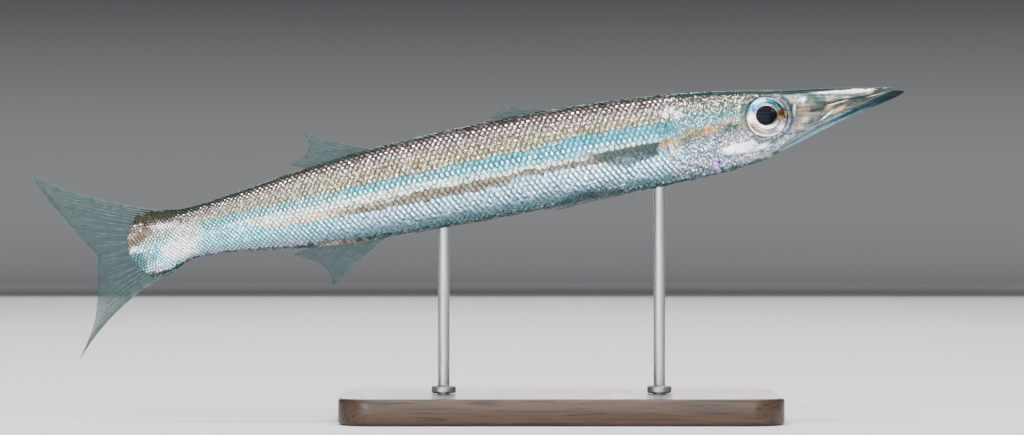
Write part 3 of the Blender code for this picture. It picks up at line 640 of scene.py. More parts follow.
def relief(at, share, height):
    """How far the skin stands out from the body's plain form, in mm."""
    out = np.full(at.shape, -SKIN_DEPTH)
    # the upper jaw lies lower than the ledge of the bone above it, and ends in a slant
    ledge = np.interp(at, *np.array(LEDGE).T)
    corner = np.interp(height, (-4.6, 1.3), (MOUTH_CORNER, MOUTH_CORNER - 4.2))
    under = soft(ledge + 0.09, ledge - 0.09, height) * soft(6.0, 10.0, at)
    under = under * soft(corner + 0.25, corner - 0.25, at)
    lip = np.interp(at, *np.array(MOUTH_LINE).T)
    roll = swell(height - lip - 0.55, 0.45) * soft(MOUTH_CORNER + 1, MOUTH_CORNER - 2, at)
    out = out - UPPER_JAW_STEP * under + LIP * roll
    out = out + UPPER_JAW_BULGE * under * swell(height - (ledge + lip) / 2, 1.1)
    # a low ridge runs along the snout from the nostrils
    out = out + SNOUT_RIDGE * swell(height - 2.6 - 0.055 * at, 0.5) * soft(8, 16, at) * soft(40, 30, at)
    # the nostrils are two pits with a thin rim
    for pit_at, pit_height, radius in NOSTRILS:
        away = np.hypot(at - pit_at, height - pit_height) / radius
        out = out - NOSTRIL_DEPTH * soft(1.0, 0.45, away) + NOSTRIL_RIM * swell(away - 1.35, 0.35)
    # the bones below and behind the eye
    ahead = np.interp(share, *np.array(CHEEK_EDGE).T) - at
    on_cheek = soft(0.08, 0.16, share) * soft(0.72, 0.64, share)
    out = out + CHEEK_LIFT * on_cheek * soft(-0.15, 0.15, ahead) * soft(9.0, 1.0, ahead)
    out = out - CHEEK_GROOVE * on_cheek * swell(ahead + 0.6, 0.4)
    for offset, depth in ((2.4, 0.10), (4.3, 0.07)):
        out = out - depth * on_cheek * swell(ahead - offset, 0.22) * soft(0.45, 0.3, share)
    # the gill cover rises to its free edge, and the shoulder behind it starts in a groove
    edge = np.interp(share, *np.array(GILL_EDGE).T)
    reach = soft(0.80, 0.72, share)
    ahead = edge - at
    out = out + GILL_LIFT * reach * soft(-0.10, 0.12, ahead) * soft(13.0, 0.0, ahead) ** 1.4
    out = out - SHOULDER_GROOVE * reach * swell(ahead + 0.55, 0.5)
    seam = np.interp(share, (0.12, 0.30, 0.45), (70.0, 73.0, 79.5))
    out = out - PLATE_SEAM * swell(at - seam, 0.25) * soft(0.12, 0.17, share) * soft(0.42, 0.34, share)
    # the gill cover's soft hem is folded over thin bony rays under the throat
    for line in RAYS_UNDER:
        fold = swell(share - line - (at - 60) * 0.0006, 0.0055)
        out = out - THROAT_FOLD * fold * soft(51, 56, at) * soft(edge - 0.5, edge - 3.0, at)
    # the head's top has a shallow trough between two ridges
    crown = soft(0.86, 0.97, share) * soft(16, 26, at) * soft(70, 58, at)
    return out - (CROWN_TROUGH * soft(0.93, 1.0, share) - CROWN_RIDGE * swell(share - 0.90, 0.02)) * crown


def set_attribute(mesh, name, values, kind="FLOAT_VECTOR"):
    """A named value on each point of a mesh."""
    made = mesh.attributes.new(name, kind, "POINT")
    key = {"FLOAT": "value", "FLOAT_VECTOR": "vector", "QUATERNION": "value", "FLOAT2": "vector"}[kind]
    made.data.foreach_set(key, np.asarray(values, np.float32).ravel())


def loft(name, rings, caps):
    """A closed mesh over rings of as many points each, with a point at either end."""
    count = rings.shape[1]
    points = rings.reshape(-1, 3)
    index = np.arange(len(points)).reshape(rings.shape[:2])
    following = np.roll(index, -1, axis=1)
    faces = np.stack([index[:-1], following[:-1], following[1:], index[1:]], -1).reshape(-1, 4).tolist()
    points = np.vstack([points, caps])
    head, tail = len(points) - 2, len(points) - 1
    faces += [(head, int(following[0][k]), int(index[0][k])) for k in range(count)]
    faces += [(tail, int(index[-1][k]), int(following[-1][k])) for k in range(count)]
    mesh = bpy.data.meshes.new(name)
    mesh.from_pydata(points.tolist(), [], faces)
    mesh.shade_smooth()
    return mesh


def facing_out(mesh):
    """Turns the faces of a closed mesh outwards."""
    shape = bmesh.new()
    shape.from_mesh(mesh)
    bmesh.ops.recalc_face_normals(shape, faces=shape.faces[:])
    if shape.calc_volume(signed=True) < 0:
        bmesh.ops.reverse_faces(shape, faces=shape.faces[:])
    shape.to_mesh(mesh)
    shape.free()


def wear(obj, slot, *nodes):
    """Makes a finished piece part of the model, in place of the nodes that it stands for."""
    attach(obj, "root")
    if nodes:
        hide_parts(*nodes)


# The hide's finish: silver under a clear wet coat. Where scales are tiny, on the head, the markings break up
# into fine bright grains, and on bare bone they run in streaks along the snout.
GRAIN, SPARK = 1100.0, 1500.0
SILVERING = ((0.04, 0.03), (0.28, 0.88))
HUES = ((0.34, (0.74, 0.62, 1.0)), (0.45, 1), (0.55, 1), (0.64, (0.62, 1.0, 0.88)))
WET = {"Specular IOR Level": 0.05, "Specular Tint": (0.55, 0.60, 0.62, 1), "Coat Weight": 0.04}


def mark(tree, name, output="Color"):
    """A value that is stored on the points of a piece."""
    return put(tree, "ShaderNodeAttribute", attribute_name=name).outputs[output]


def hued(tree, colour, place, scale, amount):
    """A colour with faint violet and green patches, and the patches' own pattern."""
    hue = mottle(tree, place, scale, 1.0)
    colour = blended(tree, amount, colour, blended(tree, 1.0, colour, ramp(tree, hue, HUES), "MULTIPLY"))
    return colour, hue


def silver_finish(name):
    """Grains of silver on pigmented skin, or streaks of it where bone lies bare."""
    material, tree, shader = new_material(name)
    place = own_place(tree)
    flow = drawn_out(tree, place, (0.6, 1.0, 1.0), PITCH)
    grain = ramp(tree, mottle(tree, flow, GRAIN, 2.5), [(0.44, 0), (0.60, 1)])
    cells = put(tree, "ShaderNodeTexVoronoi", {"Vector": flow, "Scale": SPARK}).outputs["Distance"]
    grain = blended(tree, 0.5, grain, ramp(tree, cells, [(0.18, 1), (0.42, 0)]))
    stretch = drawn_out(tree, place, (130, 900, 1100), PITCH)
    streak = ramp(tree, mottle(tree, stretch, 1.0, 4.0), [(0.36, 0), (0.62, 1)])
    streak = blended(tree, 0.35, streak, grain)
    drift = ramp(tree, mottle(tree, place, 300.0, 3.0), [(0.36, 0.30), (0.60, 1)])
    broken = blended(tree, mark(tree, "bare", "Fac"), grain, streak)
    amount = grey(tree, blended(tree, 1.0, broken, drift, "MULTIPLY"))
    colour = blended(tree, amount, mark(tree, "gap"), mark(tree, "glint"))
    colour, hue = hued(tree, colour, place, 750.0, 0.7)
    height = sums(tree, "MULTIPLY_ADD", amount, 0.7, sums(tree, "MULTIPLY", hue, 0.3))
    embossed(tree, shader, height, 0.30, 0.00012)
    silvery = ramp(tree, grey(tree, colour), SILVERING)
    rough = ramp(tree, amount, [(0.0, 0.46), (1.0, 0.18)])
    fill(tree, shader, {"Base Color": colour, "Metallic": silvery, "Roughness": rough, **WET})
    fill(tree, shader, {"Coat Roughness": 0.12})
    return material


# The skin is one seamless hide from the tip of the upper jaw to the root of the tail fin, modelled with
# the head's folds in it and cut open along the mouth, over all of the body's solids.
SIDE_POINTS, UNDER_POINTS = 74, 7
HEAD_RING, TRUNK_RING = 0.42, 1.5
HEAD_REACH = 90.0
TAIL_TAPER = (
    # distance past the body's end, share of its thickness and of its height
    (0.0, 1.0, 1.0),
    (2.0, 0.76, 1.02),
    (5.0, 0.42, 1.06),
    (9.0, 0.22, 1.10),
    (13.5, 0.13, 1.12),
)
SNAP = 0.25

TIP_BLUNTING = (0.55, 0.82, 0.94)

silver = silver_finish("silver_hide")
eye_seats = {side: eye_seat(side) for side in (1, -1)}


def mouth_share(at, sign):
    """The share of the girth at the mouth: its upper lip with sign 1 and its lower one with -1."""
    opening = MOUTH_SLIT + (MOUTH_SLIT_AT_TIP - MOUTH_SLIT) * float(soft(MOUTH_CORNER, UPPER_JAW_TIP, at))
    line = float(np.interp(at, *np.array(MOUTH_LINE).T))
    return share_at_height(at, line + sign * opening / 2)


def set_round_eyes(points):
    """Draws the skin near each eye onto clean circles, raises the rim and sinks the socket."""
    for side, (seat, look, forward, rise) in eye_seats.items():
        offset = points - seat
        ahead, above, deep = offset @ forward, offset @ rise, offset @ look
        away = np.hypot(ahead, above / EYE_OVAL)
        near = (away < RIM_OUTER + 1.5) & (points[..., 1] * side > 0) & (deep > -5.0)
        for ring in (RIM_INNER, RIM_INNER + 0.5):
            on_ring = near & (np.abs(away - ring) < SNAP)
            pull = np.where(on_ring, ring / np.maximum(away, 0.1) - 1, 0.0)
            points = points + (ahead * pull)[..., None] * forward + (above * pull)[..., None] * rise
            ahead, above = (points - seat) @ forward, (points - seat) @ rise
            away = np.hypot(ahead, above / EYE_OVAL)
        rim = soft(RIM_OUTER, RIM_INNER + 0.9, away) * soft(RIM_INNER - 0.6, RIM_INNER + 0.25, away)
        level = -EYE_SUNK + 1.05
        lift = np.where(near, RIM_RISE * rim * soft(2.5, 0.5, deep - level), 0.0)
        sink = np.where(near & (away < RIM_INNER - 0.05), -2.9 - deep, 0.0)
        points = points + (lift + sink)[..., None] * look
    return points


def tapered(points):
    """Flattens the points behind the body's end over the root of the tail fin, to a rounded edge."""
    past, thin, spread = (np.array(column) for column in zip(*TAIL_TAPER))
    at = -points[..., 0]
    top, bottom = eased(BODY, at, 1), eased(BODY, at, 2)
    level = (top + bottom) / 2
    from_middle = np.clip((points[..., 2] - level) / (top - bottom) * 2, -1, 1)
    beyond = np.maximum(at - BODY_END, 0)
    height = level + (points[..., 2] - level) * np.interp(beyond, past, spread)
    rounded = at - 0.5 * beyond * from_middle**2
    return np.stack([-rounded, points[..., 1] * np.interp(beyond, past, thin), height], -1)


def closed_ring(at, left, height, under):
    """A ring and its places for the markings, from its left half and the points that close it."""
    right = left[:-1][::-1] * (1, -1, 1)
    heights = np.concatenate([height, height[:-1][::-1], np.full(len(under), height[0])])
    return np.vstack([left, right, under]), np.stack([np.full(len(heights), at), heights], -1)


def blunted(rings, sizes):
    """Draws the first rings together to a blunt tip."""
    for ring, size in zip(rings, sizes):
        middle = ring.mean(axis=0)
        ring[:] = middle + (ring - middle) * size
    return rings


def hide_piece(name, rings, glint, gap, bare):
    """A closed piece of hide with its markings."""
    mesh = loft(name, hung(rings), hung([rings[0].mean(axis=0), rings[-1].mean(axis=0)]))
    set_attribute(mesh, "glint", glint)
    set_attribute(mesh, "gap", gap)
    set_attribute(mesh, "bare", bare, "FLOAT")
    facing_out(mesh)
    return link_object(name, mesh, silver)


def hide_rings():
    """The rings of points of the skin, in mm in the fish's frame, with their places for the markings."""
    stations = np.concatenate(
        [
            UPPER_JAW_TIP + np.array([0.0, 0.15, 0.45, 0.9, 1.5]),
            np.arange(UPPER_JAW_TIP + 1.9, HEAD_REACH, HEAD_RING),
            np.arange(HEAD_REACH, BODY_END, TRUNK_RING),
            BODY_END + np.array([0.0, 1.0, 2.0, 3.5, 5.0, 7.0, 9.0, 11.0, 12.6, 13.5]),
        ]
    )
    rings, places = [], []
    for at in stations:
        closed = float(soft(JAW_END - 0.4, JAW_END + 0.6, at))
        start = mouth_share(at, 1) if at < JAW_END + 0.6 else 0.0
        start = max(start * (1 - closed), 0.022)
        share = np.linspace(start, 1.0, SIDE_POINTS)
        turn = turn_of(np.full(SIDE_POINTS, at), share)
        height = on_body(at, turn)[:, 2]
        left = on_body(at, turn, relief(np.full(SIDE_POINTS, at), share, height))
        under = np.linspace(left[0], left[0] * (1, -1, 1), UNDER_POINTS + 2)[1:-1]
        sag = on_body(at, -math.pi / 2, -SKIN_DEPTH)[2] - left[0][2]
        under[:, 2] += closed * sag * np.sin(np.linspace(0, math.pi, UNDER_POINTS + 2)[1:-1])
        ring, place = closed_ring(at, left, height, under[::-1])
        rings.append(ring)
        places.append(place)
    return set_round_eyes(tapered(blunted(np.array(rings), TIP_BLUNTING))), np.array(places)


hide, hide_places = hide_rings()
spread = np.vstack([hide_places.reshape(-1, 2), [hide_places[0].mean(axis=0), hide_places[-1].mean(axis=0)]])
bare = soft(50.0, 34.0, spread[:, 0])
skin = hide_piece("skin", hide, *markings(spread[:, 0], spread[:, 1]), bare)
flesh = ("head", "torso_front", "torso_rear", "tail_stalk", "gill_cover_left", "gill_cover_right")
wear(skin, "silver_skin", *flesh)

# The lower jaw is one long bone in skin, and reaches past the upper jaw. Its rear end slides in
# under the cheek, and its lip is a low roll along the mouth.
JAW_TUCK = 5.0
JAW_SIDE = 30
LIP_ROLL, JAW_GROOVE = 0.22, 0.12
ROLL_WIDE, GROOVE_WIDE = math.sqrt(0.006), math.sqrt(0.002)
JAW_BLUNTING = (0.35, 0.66, 0.88)


def jaw_rings():
    """The rings of the lower jaw, open side up, and their places for the markings."""
    stations = np.concatenate([[0.0, 0.12, 0.4, 0.9, 1.6, 2.6], np.arange(3.7, JAW_END + JAW_TUCK, 0.55)])
    rings, places = [], []
    for at in stations:
        if at < UPPER_JAW_TIP:
            edge = share_at_height(at, 1.0 + 0.55 * float(soft(0.0, UPPER_JAW_TIP, at)))
        else:
            edge = mouth_share(min(at, JAW_END), -1)
        share = np.linspace(edge, 0.0, JAW_SIDE)
        turn = turn_of(np.full(JAW_SIDE, at), share)
        height = on_body(at, turn)[:, 2]
        down = np.linspace(0, 1, JAW_SIDE)
        ridges = LIP_ROLL * swell(down - 0.10, ROLL_WIDE) - JAW_GROOVE * swell(down - 0.34, GROOVE_WIDE)
        along = float(soft(1.0, 6.0, at) * soft(JAW_END, MOUTH_CORNER + 4, at))
        tuck = 1.1 * float(soft(JAW_END - 3.0, JAW_END + JAW_TUCK, at))
        left = on_body(at, turn, -SKIN_DEPTH + along * ridges - tuck)
        floor = np.linspace(left[0] * (1, -1, 1), left[0], UNDER_POINTS + 2)[1:-1]
        floor[:, 2] -= 0.35 * along * np.sin(np.linspace(0, math.pi, UNDER_POINTS + 2)[1:-1])
        ring, place = closed_ring(at, left, height, floor)
        rings.append(ring)
        places.append(place)
    return blunted(np.array(rings), JAW_BLUNTING), np.array(places)


JAW_TIP_DARK, JAW_TEAL = (0.004, 0.010, 0.009), (0.005, 0.024, 0.028)
JAW_BROWN = (0.030, 0.030, 0.026)
JAW_GREY, JAW_SILVER = (0.085, 0.105, 0.11), (0.12, 0.25, 0.30)
jaw, jaw_places = jaw_rings()
jaw_at = np.concatenate([jaw_places[..., 0].ravel(), [0.0, JAW_END]])
jaw_height = np.concatenate([jaw_places[..., 1].ravel(), [0.5, -11.0]])
upper = np.interp(jaw_at, *np.array(MOUTH_LINE).T)
lower = eased(BODY, jaw_at, 2)
down = np.clip((upper - jaw_height) / np.maximum(upper - lower, 0.3), 0, 1)
jaw_colour = np.broadcast_to(np.array(JAW_TEAL), jaw_at.shape + (3,))
for tone, share in (
    (JAW_BROWN, 0.7 * soft(0.50, 0.25, down) * soft(8.0, 14.0, jaw_at) * soft(26.0, 20.0, jaw_at)),
    (JAW_GREY, soft(20.0, 34.0, jaw_at)),
    # the silver band along the jaw's lower edge: its own silver with a painted highlight in it
    (JAW_SILVER, soft(0.62, 0.74, down) * soft(1.02, 0.90, down) * soft(8.0, 30.0, jaw_at)),
    (JAW_SILVER, 0.7 * soft(0.10, 0.16, down) * soft(0.34, 0.26, down) * soft(17.0, 24.0, jaw_at)),
    (JAW_TIP_DARK, 0.85 * soft(11.0, 5.0, jaw_at)),
):
    jaw_colour = jaw_colour + (np.array(tone) - jaw_colour) * share[:, None]
jaw_glint, jaw_gap = np.minimum(jaw_colour * 1.5, 1.0), jaw_colour * 0.55
wear(hide_piece("jaw", jaw, jaw_glint, jaw_gap, np.ones(len(jaw_at))), "silver_skin", "lower_jaw")

# The eyes. A clear wet dome covers a silver iris, turquoise above, with a thin gold ring round the pupil,
# which comes to a blunt point at the front, as in most fast fish that hunt by sight.
EYE_RINGS, EYE_SPOKES = 44, 144
PUPIL = 0.47
PUPIL_MIDDLE = (-0.06, 0.03)
PUPIL_POINT = 0.07
PUPIL_BLACK, PUPIL_RING = (0.0012, 0.0022, 0.0050, 1), (0.20, 0.13, 0.05, 1)
CORNEA, CORNEA_WIDE = 0.30, 0.62
IRIS_GROUND = (0.17, 0.16, 0.17)
IRIS_PARTS = (
    # turn and half turn in degrees, distance out and half width as shares, colour, strength
    (95, 85, 0.74, 0.20, (0.11, 0.29, 0.35), 0.9),
    (132, 34, 0.72, 0.17, (0.03, 0.36, 0.66), 0.95),
    (150, 14, 0.66, 0.09, (0.01, 0.08, 0.30), 0.8),
    (104, 20, 0.80, 0.12, (0.50, 0.90, 0.95), 0.8),
    (58, 26, 0.68, 0.15, (0.006, 0.10, 0.13), 0.95),
    (26, 14, 0.78, 0.12, (0.005, 0.07, 0.10), 0.8),
    # a white arc at the upper front of the iris: a painted highlight
    (38, 20, 0.90, 0.06, (1.0, 1.0, 1.0), 1.0),
    (90, 80, 0.52, 0.05, (0.42, 0.44, 0.36), 0.7),
    (178, 22, 0.72, 0.16, (1.0, 0.90, 0.96), 0.95),
    (3, 15, 0.72, 0.20, (0.12, 0.060, 0.012), 1.0),
    (-2, 9, 0.93, 0.08, (0.70, 0.42, 0.20), 0.8),
    (-18, 8, 0.62, 0.12, (0.60, 0.34, 0.15), 0.9),
    # white at the lower front of the iris: a painted reflection
    (-42, 20, 0.82, 0.14, (1.0, 0.93, 1.0), 1.0),
    (-30, 6, 0.88, 0.10, (0.04, 0.05, 0.05), 0.6),
    (-92, 28, 0.80, 0.10, (0.12, 0.16, 0.22), 0.85),
    (-132, 30, 0.72, 0.09, (0.62, 0.34, 0.28), 0.85),
    (-140, 30, 0.84, 0.06, (0.06, 0.10, 0.11), 0.9),
    (-120, 60, 0.95, 0.05, (1.0, 0.86, 0.62), 1.0),
    (-70, 26, 0.95, 0.04, (0.95, 0.86, 0.60), 0.8),
    (-125, 68, 0.55, 0.07, (1.0, 0.93, 0.94), 1.0),
    (-60, 24, 0.56, 0.06, (0.95, 0.80, 0.80), 0.85),
    (185, 45, 1.0, 0.05, (0.62, 0.36, 0.18), 0.9),
    (90, 60, 1.0, 0.05, (0.10, 0.16, 0.18), 0.8),
    (0, 40, 1.0, 0.05, (0.010, 0.030, 0.070), 0.9),
)


def iris_colours(ahead, above):
    """The iris's colours at places on its disc, laid on part by part."""
    away, turn = np.hypot(ahead, above), np.degrees(np.arctan2(above, ahead))
    colour = np.full(ahead.shape + (3,), IRIS_GROUND)
    for middle, half_turn, out, half_out, tone, strength in IRIS_PARTS:
        aside = np.abs((turn - middle + 180) % 360 - 180) / half_turn
        apart = np.abs(away - out) / half_out
        cover = (soft(1.5, 0.4, aside) * soft(1.45, 0.45, apart) * strength)[..., None]
        colour = colour + (np.array(tone) - colour) * cover
    return colour


def eye_finish():
    """The pupil's edge, the iris's fine spokes over its painted parts, and the wet dome's gloss."""
    material, tree, shader = new_material("eye_under_clear_dome")
    gaze, iris = mark(tree, "gaze", "Vector"), mark(tree, "iris")
    middle = vectors(tree, "SUBTRACT", gaze, (*PUPIL_MIDDLE, 0))
    parts = put(tree, "ShaderNodeSeparateXYZ", {"Vector": middle}).outputs
    away = vectors(tree, "LENGTH", middle)
    ahead = sums(tree, "DIVIDE", parts["X"], sums(tree, "MAXIMUM", away, 0.02))
    point = sums(tree, "POWER", sums(tree, "MAXIMUM", ahead, 0.0), 5.0)
    edge = sums(tree, "MULTIPLY_ADD", point, -PUPIL_POINT, away)
    edge = sums(tree, "MULTIPLY_ADD", mottle(tree, gaze, 4.0, 3.0), 0.05, edge)
    turn = sums(tree, "ARCTAN2", parts["Y"], parts["X"])
    wound = {"X": sums(tree, "MULTIPLY", turn, 10.0), "Y": sums(tree, "MULTIPLY", away, 7.0)}
    wound = put(tree, "ShaderNodeCombineXYZ", wound).outputs[0]
    spokes = mottle(tree, wound, 1.5, 5.0)
    shade = ramp(tree, spokes, [(0.34, (0.30, 0.30, 0.34)), (0.56, 1)])
    colour = blended(tree, 0.85, iris, blended(tree, 1.0, iris, shade, "MULTIPLY"))
    clouds = ramp(tree, mottle(tree, gaze, 9.0, 4.0), [(0.35, (0.72, 0.70, 0.72)), (0.6, 1)])
    colour = blended(tree, 1.0, colour, clouds, "MULTIPLY")
    low, high = PUPIL + 0.025, PUPIL + 0.055
    bright = grey(tree, ramp(tree, edge, [(low - 0.015, 0), (low, 1)]))
    rim = grey(tree, ramp(tree, edge, [(low, 1), (high, 0)]))
    colour = blended(tree, sums(tree, "MULTIPLY", rim, 0.7), colour, PUPIL_RING)
    colour = blended(tree, bright, PUPIL_BLACK, colour)
    height = sums(tree, "MULTIPLY_ADD", spokes, 0.6, sums(tree, "MULTIPLY", clouds, 0.4))
    embossed(tree, shader, height, 0.22, 0.0001)
    silvery = sums(tree, "MULTIPLY", bright, 0.82)
    fill(tree, shader, {"Base Color": colour, "Metallic": silvery, "Roughness": 0.26})
    fill(tree, shader, {"Specular IOR Level": 0.04, "Coat Weight": 0.05})
    fill(tree, shader, {"Coat Roughness": 0.10, "Coat IOR": 1.40})
    return material


def make_eye(side):
    """One eyeball: rings from the middle of its dome to its rim, and a plain closed back."""
    seat, look, forward, rise = eye_seats[side]
    centre = seat - look * EYE_SUNK
    spokes = np.arange(EYE_SPOKES) * 2 * math.pi / EYE_SPOKES
    outline = [(k / EYE_RINGS, EYE_DOME * math.sqrt(1 - (k / EYE_RINGS) ** 2)) for k in range(1, EYE_RINGS)]
    outline += [(0.998, 0.06), (1.0, -0.25), (0.97, -1.0), (0.80, -1.9)]
    rings, gazes = [], []
    for share, height in outline:
        cornea = CORNEA * max(0.0, 1 - (share / CORNEA_WIDE) ** 2) if height > 0 else 0.0
        ahead, above = np.cos(spokes) * share, np.sin(spokes) * share
        ring = centre + EYE_RADIUS * (np.outer(ahead, forward) + EYE_OVAL * np.outer(above, rise))
        rings.append(ring + look * (height + cornea))
        gazes.append(np.stack([ahead, above, np.zeros(EYE_SPOKES)], -1))
    ends = [centre + look * (EYE_DOME + CORNEA), centre - look * 1.9]
    mesh = loft("eyeball", hung(np.array(rings)), hung(ends))
    gazes = np.vstack([np.vstack(gazes), [[0, 0, 0], [0.8, 0, 0]]])
    set_attribute(mesh, "gaze", gazes)
    set_attribute(mesh, "iris", iris_colours(gazes[:, 0], gazes[:, 1]))
    facing_out(mesh)
    return mesh


eye_material = eye_finish()
for side, word in ((1, "left"), (-1, "right")):
    eye = link_object("eyeball_" + word, make_eye(side), eye_material)
    wear(eye, "eye", "eye_" + word)

# The scales are thin round plates of bone that overlap like roof tiles, each rooted at its front edge
# in the skin, in straight rows. About ninety lie along the side line, and far smaller ones on the cheek.
ROWS = 27
SPACING = ((60.0, 1.35), (76.0, 1.75), (95.0, 1.92), (180.0, 1.90), (225.0, 1.60), (BODY_END, 1.25))
SCALE_LONG, SCALE_WIDE = 1.95, 2.05
SCALE_THICK = 0.075
SCALE_SINK, SCALE_RISE = -0.11, 0.25
SCALE_CROWN = 0.085
CHEEK_SPACING, CHEEK_ROWS = 1.05, 40
CHEEK_JITTER = 0.38
TAIL_SCALES = 12.5
LATERAL_ROW = 14
LATERAL_GLINT = (0.92, 1.0, 1.0)
PATCH = 0.003
GLINT_PLACE = 0.40
GLINT_FORM = (
    # height share, lean of the glint's upper end towards the head in degrees, half length, half width,
    # how uneven the glints are, and how far each breaks up into specks
    (0.00, -28.0, 0.36, 0.22, 0.5, 0.3),
    (0.10, -28.0, 0.42, 0.22, 0.5, 0.2),
    (0.18, -26.0, 0.74, 0.24, 0.50, 0.12),
    (0.32, -22.0, 0.70, 0.22, 0.55, 0.18),
    (0.38, -16.0, 0.60, 0.24, 0.50, 0.60),
    (0.47, -5.0, 0.50, 0.34, 0.50, 0.80),
    (0.54, -6.0, 0.50, 0.24, 0.40, 0.20),
    (0.66, 20.0, 0.40, 0.20, 0.60, 0.50),
    (0.76, 38.0, 0.45, 0.17, 0.75, 0.60),
    (0.85, 36.0, 0.48, 0.20, 0.60, 0.35),
    (0.90, 10.0, 0.36, 0.27, 0.35, 0.10),
    (0.94, 0.0, 0.33, 0.30, 0.25, 0.0),
    (1.00, 0.0, 0.33, 0.30, 0.25, 0.0),
)
CHEEK_SPECKLE = 0.85
MIXED = 0.2
SPECKS = 1450.0
PORE = (0.12, 0.17, 0.16, 1)
GROWTH_LINES = 46.0
ASKEW = 0.07


def scale_blank():
    """One scale, a unit long and a unit wide, rooted at -X, with its height in mm."""
    rim_count = 12
    turns = np.arange(rim_count) * 2 * math.pi / rim_count
    rim_x, rim_y = np.cos(turns), np.sin(turns)
    rim_x = np.where(rim_x > 0, rim_x, rim_x * 0.92)
    points, local = [], []
    for size, lift in ((0.0, 1.0), (0.6, 0.72), (1.0, 0.0), (0.0, -0.25)):
        count = 1 if size == 0 else rim_count
        x, y = 0.5 * size * rim_x[:count], 0.5 * size * rim_y[:count]
        z = SCALE_SINK + SCALE_RISE * (x + 0.5) - SCALE_CROWN * (2 * y) ** 2 + SCALE_THICK * lift
        points.append(np.stack([x, y, z], -1))
        local.append(np.stack([2 * x, 2 * y, np.zeros(count)], -1))
    top, inner, rim, bottom = 0, 1, 1 + rim_count, 1 + 2 * rim_count
    faces = []
    for k in range(rim_count):
        n = (k + 1) % rim_count
        faces += [(top, inner + k, inner + n), (inner + k, rim + k, rim + n), (inner + k, rim + n, inner + n)]
        faces.append((bottom, rim + n, rim + k))
    mesh = bpy.data.meshes.new("scale")
    mesh.from_pydata(np.vstack(points).tolist(), [], faces)
    mesh.shade_smooth()
    set_attribute(mesh, "local", np.vstack(local))
    return mesh


def scale_places():
    """Distance behind, share of the girth, spacing along and across, for every scale of one side."""
    walk = [SPACING[0][0]]
    while walk[-1] < BODY_END + TAIL_SCALES:
        walk.append(walk[-1] + float(np.interp(walk[-1], *np.array(SPACING).T)))
    columns = np.arange(len(walk))
    found = []
    gill = np.array(GILL_EDGE)
    for row in range(ROWS):
        share = (row + 0.5) / ROWS
        at = np.interp(columns + 0.5 * (row % 2), columns, walk)
        start = np.interp(share, gill[:, 0], gill[:, 1]) + 0.9 if share < 0.79 else 62.0 + 30 * (1 - share)
        end = BODY_END + TAIL_SCALES
        at = at[(at > start) & (at < end)]
        along = np.interp(at, *np.array(SPACING).T)
        across = np.interp(at, STATIONS, HALF_GIRTH) / ROWS
        found.append(np.stack([at, np.full(len(at), share), along, across], -1))
    seat, look, forward, rise = eye_seats[1]
    random = np.random.default_rng(7)
    for row in range(CHEEK_ROWS):
        share = (row + 0.5) / CHEEK_ROWS
        if not 0.09 < share < 0.84:
            continue
        end = np.interp(share, gill[:, 0], gill[:, 1]) - 0.5
        at = np.arange(50.0 + 0.5 * CHEEK_SPACING * (row % 2), end, CHEEK_SPACING)
        at = at + random.uniform(-CHEEK_JITTER, CHEEK_JITTER, len(at))
        shares = share + random.uniform(-CHEEK_JITTER, CHEEK_JITTER, len(at)) / CHEEK_ROWS
        place = on_body(at, turn_of(at, shares))
        offset = place - seat
        clear = np.hypot(offset @ forward, offset @ rise) > RIM_OUTER + 0.2
        naked = np.hypot((at - 58.5) / 8.0, (place[:, 2] + 7.6) / 2.6) < 1.0
        kept = clear & ~naked & (at > 54.0 + 4.0 * max(0.0, 0.3 - share) / 0.3)
        at, shares = at[kept], shares[kept]
        across = np.interp(at, STATIONS, HALF_GIRTH) / CHEEK_ROWS
        found.append(np.stack([at, shares, np.full(len(at), CHEEK_SPACING), across], -1))
    return np.vstack(found)


def laid_out(at, share, side):
    """The skin's points under the scales, in mm in the fish's frame."""
    turn = turn_of(at, share)
    height = on_body(at, turn)[:, 2]
    return tapered(on_body(at, turn, relief(at, share, height))) * (1, side, 1)


